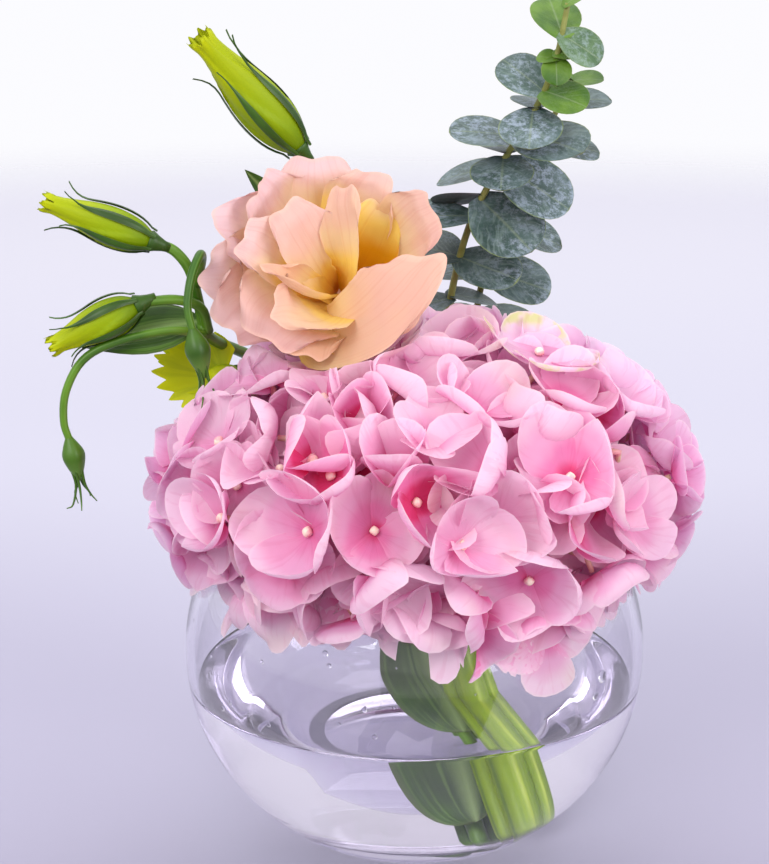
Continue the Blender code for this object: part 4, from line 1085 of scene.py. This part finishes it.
def make_sprig(name, look, points, leaves, tip_leaves, node, seed):
    """A eucalyptus stem with its leaves, of which those at the tip are young and bright."""
    rng = random.Random(seed)
    sprig = Shape()
    route = smooth_route(points, 6)
    count = len(route)
    radii = [EUCALYPTUS_STEM_RADIUS * (1 - 0.45 * i / (count - 1)) for i in range(count)]
    sprig.tube(route, radii, 12, stalk=1.0)
    for index, (height, azimuth, rise, roll, length) in enumerate(leaves + tip_leaves):
        direction, upper = facing(azimuth, rise, roll)
        base = point_at_height(route, height) + upper * 0.9 - direction * 1.2
        young = 0.9 if index >= len(leaves) else ease(height, 215, 250) * 0.6
        add_leaf(sprig, base, direction, upper, length, length * LEAF_BREADTH, round_width, sag=1.5, fold=0.8,
                 curl=rng.uniform(-0.5, 0.5), tint=rng.random(), young=young, stalk=0.0)
    sprig.made(name, look, node)


# ---- lisianthus buds and greens

# radius of a bud at places from its base to its tip, as shares of its length and of its full radius
BUD_PROFILE = [(0, 0.5), (0.1, 0.82), (0.22, 1.0), (0.38, 1.04), (0.56, 0.9), (0.75, 0.64), (0.9, 0.5),
               (1, 0.56)]
GREEN_BUD_SHARES = [(0.18, 0.72), (0.42, 1.0), (0.7, 0.72), (0.92, 0.3), (1, 0.14)]
BUD_SIDES = 60


def bud_axis(base, tip):
    """Base and tip as Vectors, the direction from one to the other, and the rotation onto it."""
    base, tip = Vector(base), Vector(tip)
    axis = (tip - base).normalized()
    return base, tip, axis, frame_along(axis)


def make_bud(name, look, base, tip, radius):
    """A furled bud: petals wound about each other in a spindle with a slightly flared, ragged mouth."""
    base, tip, axis, turn = bud_axis(base, tip)
    rows, alongs = [], []
    for t in steps(28):
        row = []
        for angle in turns(BUD_SIDES):
            wind = (5 * angle / math.tau + 1.1 * t) % 1.0
            fold = 1 + 0.13 * (wind - 0.5) * ease(t, 0.05, 0.3)
            reach = radius * along_curve(BUD_PROFILE, t) * fold
            ragged = 0.8 * ease(t, 0.88, 1.0) * (math.sin(7 * angle) + 0.5 * math.sin(13 * angle))
            place = base + axis * ((tip - base).length * t + 0.3 + ragged)
            row.append(place + turn @ on_ring(reach, angle))
        rows.append(row)
        alongs += [t] * BUD_SIDES
    rows.append([place.lerp(tip - axis * radius, 0.35) - axis * radius * 0.8 for place in rows[-1]])
    alongs += [0.9] * BUD_SIDES
    acrosses = [side / BUD_SIDES for side in range(BUD_SIDES)] * len(rows)
    bud = Shape()
    bud.barrel(rows, along=alongs, across=acrosses)
    bud.made(name + "_petals", look, name)


def add_strip(shape, places, side, out, halves, ridge, **numbers):
    """A slim strip through places, with a ridge along its middle."""
    rows = []
    for place, half in zip(places, halves):
        rows.append([place - side * half, place - side * half * 0.45 + out * ridge * 0.7, place + out * ridge,
                     place + side * half * 0.45 + out * ridge * 0.7, place + side * half])
    count = len(rows)
    shape.sheet(rows, along=[t for t in steps(count) for _ in range(5)],
                rim=[abs(j - 2) / 2 for _ in range(count) for j in range(5)], **numbers)


def add_calyx(greens, rng, base, tip, radius):
    """A cup on the stem, and slim ridged sepals up the bud's sides, whose long thin tips curl free."""
    base, tip, axis, turn = bud_axis(base, tip)
    length = (tip - base).length
    cup = [base + axis * step for step in (-6, -4, -2, 0.0, 0.8)]
    greens.tube(cup, [TWIG_RADIUS, 1.7, 2.4, radius * 0.5 + 0.6, radius * 0.5], 16, tint=0.9)
    for index in range(5):
        spin = math.tau * (index + 0.3) / 5
        radial = turn @ on_ring(1, spin)
        side = turn @ Vector((-math.sin(spin), math.cos(spin), 0))
        free = rng.uniform(0.46, 0.62)
        reach = rng.uniform(0.80, 0.92)
        places, halves = [], []
        for t in steps(18):
            along = -0.03 + (reach + 0.03) * t
            out = radius * along_curve(BUD_PROFILE, max(0, along)) * 1.03 + 0.5
            away = max(0.0, along - free) / (reach - free)
            out += 4.6 * away**2.4
            sideways = side * 1.2 * away**2 * rng.uniform(0.8, 1.2)
            places.append(base + axis * length * along + radial * out + sideways)
            halves.append(1.25 * math.sin(math.pi * min(1, 0.12 + t * 0.95)) ** 1.1 * (1 - 0.9 * away) + 0.16)
        add_strip(greens, places, side, radial, halves, 0.5, tint=0.9)


def add_green_bud(greens, base, end, radius):
    """A young bud still closed in its calyx, with fine free tips."""
    base, end, axis, turn = bud_axis(base, end)
    rows, alongs, sides = [], [], 20
    for t in steps(24):
        reach = along_curve([(0, 1.1 / radius)] + GREEN_BUD_SHARES, t)
        row = []
        for angle in turns(sides):
            ridge = 1 + 0.10 * abs(math.cos(2.5 * angle + 1.2 * t)) * ease(t, 0.05, 0.3)
            flat = on_ring(1, angle) * radius * reach * ridge
            row.append(base + axis * ((end - base).length * 1.1 * t - 1) + turn @ flat)
        rows.append(row)
        alongs += [t] * sides
    greens.sheet(rows, closed=True, along=alongs, tint=0.55)
    for index, spin in enumerate((0.4, 1.7, 2.6, 4.0, 4.9)):
        radial = turn @ on_ring(1, spin)
        points = [end - axis * 5 + radial * radius * 0.55, end + axis * 1 + radial * radius * 0.45,
                  end + axis * (4.5 + index % 3) + radial * radius * (0.8 + 0.2 * index % 2),
                  end + axis * (7 + index % 2) + radial * radius * (1.3 + 0.3 * (index % 3))]
        route = smooth_route(points, 4)
        greens.tube(route, [0.55 - 0.4 * t for t in steps(len(route))], 6, tint=0.7)


# every stem of the plant: its route, and its radius at the start and at the end
GREEN_STEMS = [
    (MAIN_STEM, 2.4, 1.9), (SIDE_BRANCH, 1.7, 1.7), (TOP_BUD_STEM, 1.7, TWIG_RADIUS),
    (LEFT_BUD_STEM, 1.7, 1.5), (LOW_BUD_STEM, 1.6, 1.4), (DROOPING_STEM, 1.4, 1.1),
    (HANGING_STEM, 1.5, 1.1), (OPENING_BUD_STEM, 1.5, TWIG_RADIUS),
]


def make_greens():
    """The plant's stems, leaves, calyxes and closed green buds, all one piece."""
    rng = random.Random(21)
    greens = Shape()
    for route, start, end in GREEN_STEMS:
        add_stem(greens, route, start, end)
    add_leaf(greens, Vector((-62, -1, 158)), Vector((-35, -5, -5)), Vector((0.1, -0.7, 0.7)), 37, 17,
             pointed_width, sag=3, fold=1.5, curl=0.8, tint=0.85)
    add_leaf(greens, Vector((-34, 43, 176)), Vector((-17, -16, 21)), Vector((0.2, -0.8, 0.3)), 34, 8,
             pointed_width, sag=-2, fold=1.0, tint=0.5)
    add_leaf(greens, Vector((-3, 10, 70)), Vector((20, -24, -54)), Vector((-0.3, -0.9, 0.3)), 61, 33,
             round_width, sag=-6, fold=2.0, curl=0.4, rows_count=25, columns=13, tint=0.85)
    for across, away in ((-5, 2), (-2, -4)):
        add_stem(greens, [Vector(place) + Vector((across, away, 0)) for place in MAIN_STEM[:4]], 2.2, 2.0)
    turn = frame_along(BLOOM_AXIS)
    end = BLOOM_BASE - BLOOM_AXIS * 2.3
    greens.tube([end - BLOOM_AXIS * step for step in (7, 5, 2.5, 0)], [1.9, 2.3, 3.0, 3.5], 16, tint=0.4)
    for spin in turns(5):
        radial = turn @ on_ring(1, spin + 0.63)
        add_leaf(greens, end - BLOOM_AXIS * 1.6 + radial * 1.8, radial - BLOOM_AXIS * 0.15, BLOOM_AXIS,
                 17, 4.5, pointed_width, tint=0.4)
    for base, tip, radius in BUDS.values():
        add_calyx(greens, rng, base, tip, radius)
    for base, end, radius in GREEN_BUDS:
        add_green_bud(greens, base, end, radius)
    greens.made("lisianthus_greens", green_look(), "lisianthus_stems")


# of the opening bud's fan: its first and last angle in degrees from the right, the angle that each tooth
# takes, and its reach at some angles
FAN_START, FAN_END, FAN_TOOTH = 70, 245, 13
FAN_OUTLINE = [(70, 9), (95, 13), (115, 17), (135, 19.5), (158, 21.5), (182, 21.5), (206, 17.5), (228, 13),
               (245, 10)]
FAN_FOOT = Vector((-54.5, 10.5, 140.2))
# middle, lean back and size of each fan
FANS = [(Vector((-57, 5.5, 139)), 0.0, 1.0), (Vector((-58.5, 9.5, 141)), 0.35, 0.86)]


def make_opening_bud(look):
    """A bud just opening: toothed young petals fanned out from its foot."""
    fringed = Shape()
    route = smooth_route([FAN_FOOT, FAN_FOOT + Vector((-3, -6, -0.5)), FAN_FOOT + Vector((-6, -9, -1))], 4)
    fringed.tube(route, [1.4 + 2.4 * math.sin(math.pi * t * 0.8) for t in steps(len(route))], 14)
    for middle, lean_back, size in FANS:
        facing_front = frame_along(Vector((-0.15, -0.88, 0.35 + lean_back)), Vector((1, 0, 0)))
        rows, alongs, acrosses = [], [], []
        for share in steps(9):
            row = []
            for angle in [FAN_START + (FAN_END - FAN_START) * t for t in steps(121)]:
                tooth = abs((angle / FAN_TOOTH) % 1.0 - 0.5) * 2
                toothed = ease(angle, 92, 108) * (1 - ease(angle, 205, 222)) * ease(share, 0.7, 1.0)
                reach = size * along_curve(FAN_OUTLINE, angle) * share * (1 - 0.2 * tooth * toothed)
                around = math.radians(angle)
                cup = 0.012 * reach**2 * math.cos(math.radians(angle - 150)) ** 2
                cup += 0.8 * share * math.sin(around * 5)
                row.append(middle + facing_front @ on_ring(reach, around, cup))
                alongs.append(0.5 + 0.45 * share)
                acrosses.append(angle / 120)
            rows.append(row)
        fringed.sheet(rows, along=alongs, across=acrosses)
    fringed.made("fringed_petals", look, "bud_fringed")


# ---- floor, light and camera

FLOOR_HALF = 1.6  # metres, as are the lamps' places and sizes and the camera's place
# name, place, size and power of each lamp
LAMPS = [
    ("key", (-1.1, -1.6, 1.4), (1.1, 1.1), 25.0),
    ("fill", (1.2, -1.1, 0.75), (0.8, 1.0), 13.5),
    ("top", (0.1, 0.8, 1.9), (1.4, 0.9), 9.0),
]
LAMPS_AIM = Vector((0, 0, 0.12))
WORLD_SEEN = (0.97, 0.97, 1.0, 1.0)  # what the camera, glass and gloss see beyond the floor
WORLD_LIGHT = (0.95, 0.95, 1.0, 1.0)
WORLD_POWER = 1.1


def make_floor():
    """A pale table, darker at the front by painted shade, whose far edge fades softly into the white beyond.
    """
    mesh = bpy.data.meshes.new("floor")
    corners = [(-FLOOR_HALF, -FLOOR_HALF, 0), (FLOOR_HALF, -FLOOR_HALF, 0), (FLOOR_HALF, FLOOR_HALF, 0),
               (-FLOOR_HALF, FLOOR_HALF, 0)]
    mesh.from_pydata(corners, [], [(0, 1, 2, 3)])
    look = Look("pale_table", 0.55)
    look.set(Specular_IOR_Level=0.2)
    depth = look.tree.nodes.new("ShaderNodeSeparateXYZ")
    look.plug(look.place(), depth.inputs[0])
    # painted shade: the table's colour darkens towards the front, as the light on it falls off towards the
    # camera
    look.colour(look.ramp(look.level(depth.outputs["Y"], -0.5, 1.1), (0.0, (114, 109, 129)),
                          (0.3, (174, 170, 190)), (0.6, (191, 189, 203)), (1.0, (201, 199, 209))))
    length = look.tree.nodes.new("ShaderNodeVectorMath")
    length.operation = "LENGTH"
    look.plug(look.place(), length.inputs[0])
    look.plug(look.level(length.outputs["Value"], 1.0, 1.34, 1.0, 0.0), look.shader.inputs["Alpha"])
    mesh.materials.append(look.material)
    placed("floor", mesh)


def make_lamps():
    """Soft rectangular lamps, all turned towards the middle of the arrangement."""
    for name, place, size, power in LAMPS:
        light = bpy.data.lights.new(name, "AREA")
        light.shape = "RECTANGLE"
        light.size, light.size_y = size
        light.energy = power
        lamp = placed(name, light)
        lamp.location = place
        lamp.rotation_euler = (LAMPS_AIM - Vector(place)).to_track_quat("-Z", "Y").to_euler()


def make_world():
    """A white surrounding, a little stronger where it lights matt surfaces than where it is seen."""
    world = bpy.data.worlds.new("studio")
    world.use_nodes = True
    tree = world.node_tree
    rays = tree.nodes.new("ShaderNodeLightPath")
    seen = tree.nodes["Background"]
    seen.inputs["Color"].default_value = WORLD_SEEN
    light = tree.nodes.new("ShaderNodeBackground")
    light.inputs["Color"].default_value = WORLD_LIGHT
    light.inputs["Strength"].default_value = WORLD_POWER
    tree.links.new(rays.outputs["Is Diffuse Ray"], mix_shaders(tree, seen, light, "World Output"))
    bpy.context.scene.world = world


def make_camera():
    camera = bpy.data.cameras.new("camera")
    camera.lens = 100.9
    camera.sensor_width = 36.0
    holder = placed("camera", camera)
    holder.location = (-0.0091, -0.696, 0.3245)
    holder.rotation_euler = (math.radians(73.9), 0, 0)
    bpy.context.scene.camera = holder


def main():
    make_camera()
    make_floor()
    make_world()
    make_lamps()
    clear_water = clear_look("water", (244, 242, 248), WATER_IOR)
    make_bowl()
    make_water(clear_water)
    make_drops(clear_water)
    beds = [BLOOM_BED, OPENING_BUD_BED]
    for route in (MAIN_STEM, SIDE_BRANCH, OPENING_BUD_STEM, LEFT_SPRIG, RIGHT_SPRIG):
        beds += beds_along(route, 5.0)
    make_hydrangea(beds)
    make_hydrangea_stem()
    make_bloom()
    make_greens()
    lime = lime_look()
    for name, (base, tip, radius) in BUDS.items():
        make_bud(name, lime, base, tip, radius)
    make_opening_bud(lime)
    leaves = eucalyptus_look()
    make_sprig("eucalyptus_front_leaves", leaves, LEFT_SPRIG, LEFT_SPRIG_LEAVES, LEFT_SPRIG_TIP,
               "eucalyptus_left", 3)
    make_sprig("eucalyptus_back_leaves", leaves, RIGHT_SPRIG, RIGHT_SPRIG_LEAVES, RIGHT_SPRIG_TIP,
               "eucalyptus_right", 5)
    bpy.context.scene.view_settings.view_transform = "Standard"
    bpy.context.scene.cycles.max_bounces = 20
    bpy.context.scene.cycles.glossy_bounces = 16
    bpy.context.scene.cycles.transmission_bounces = 20


main()
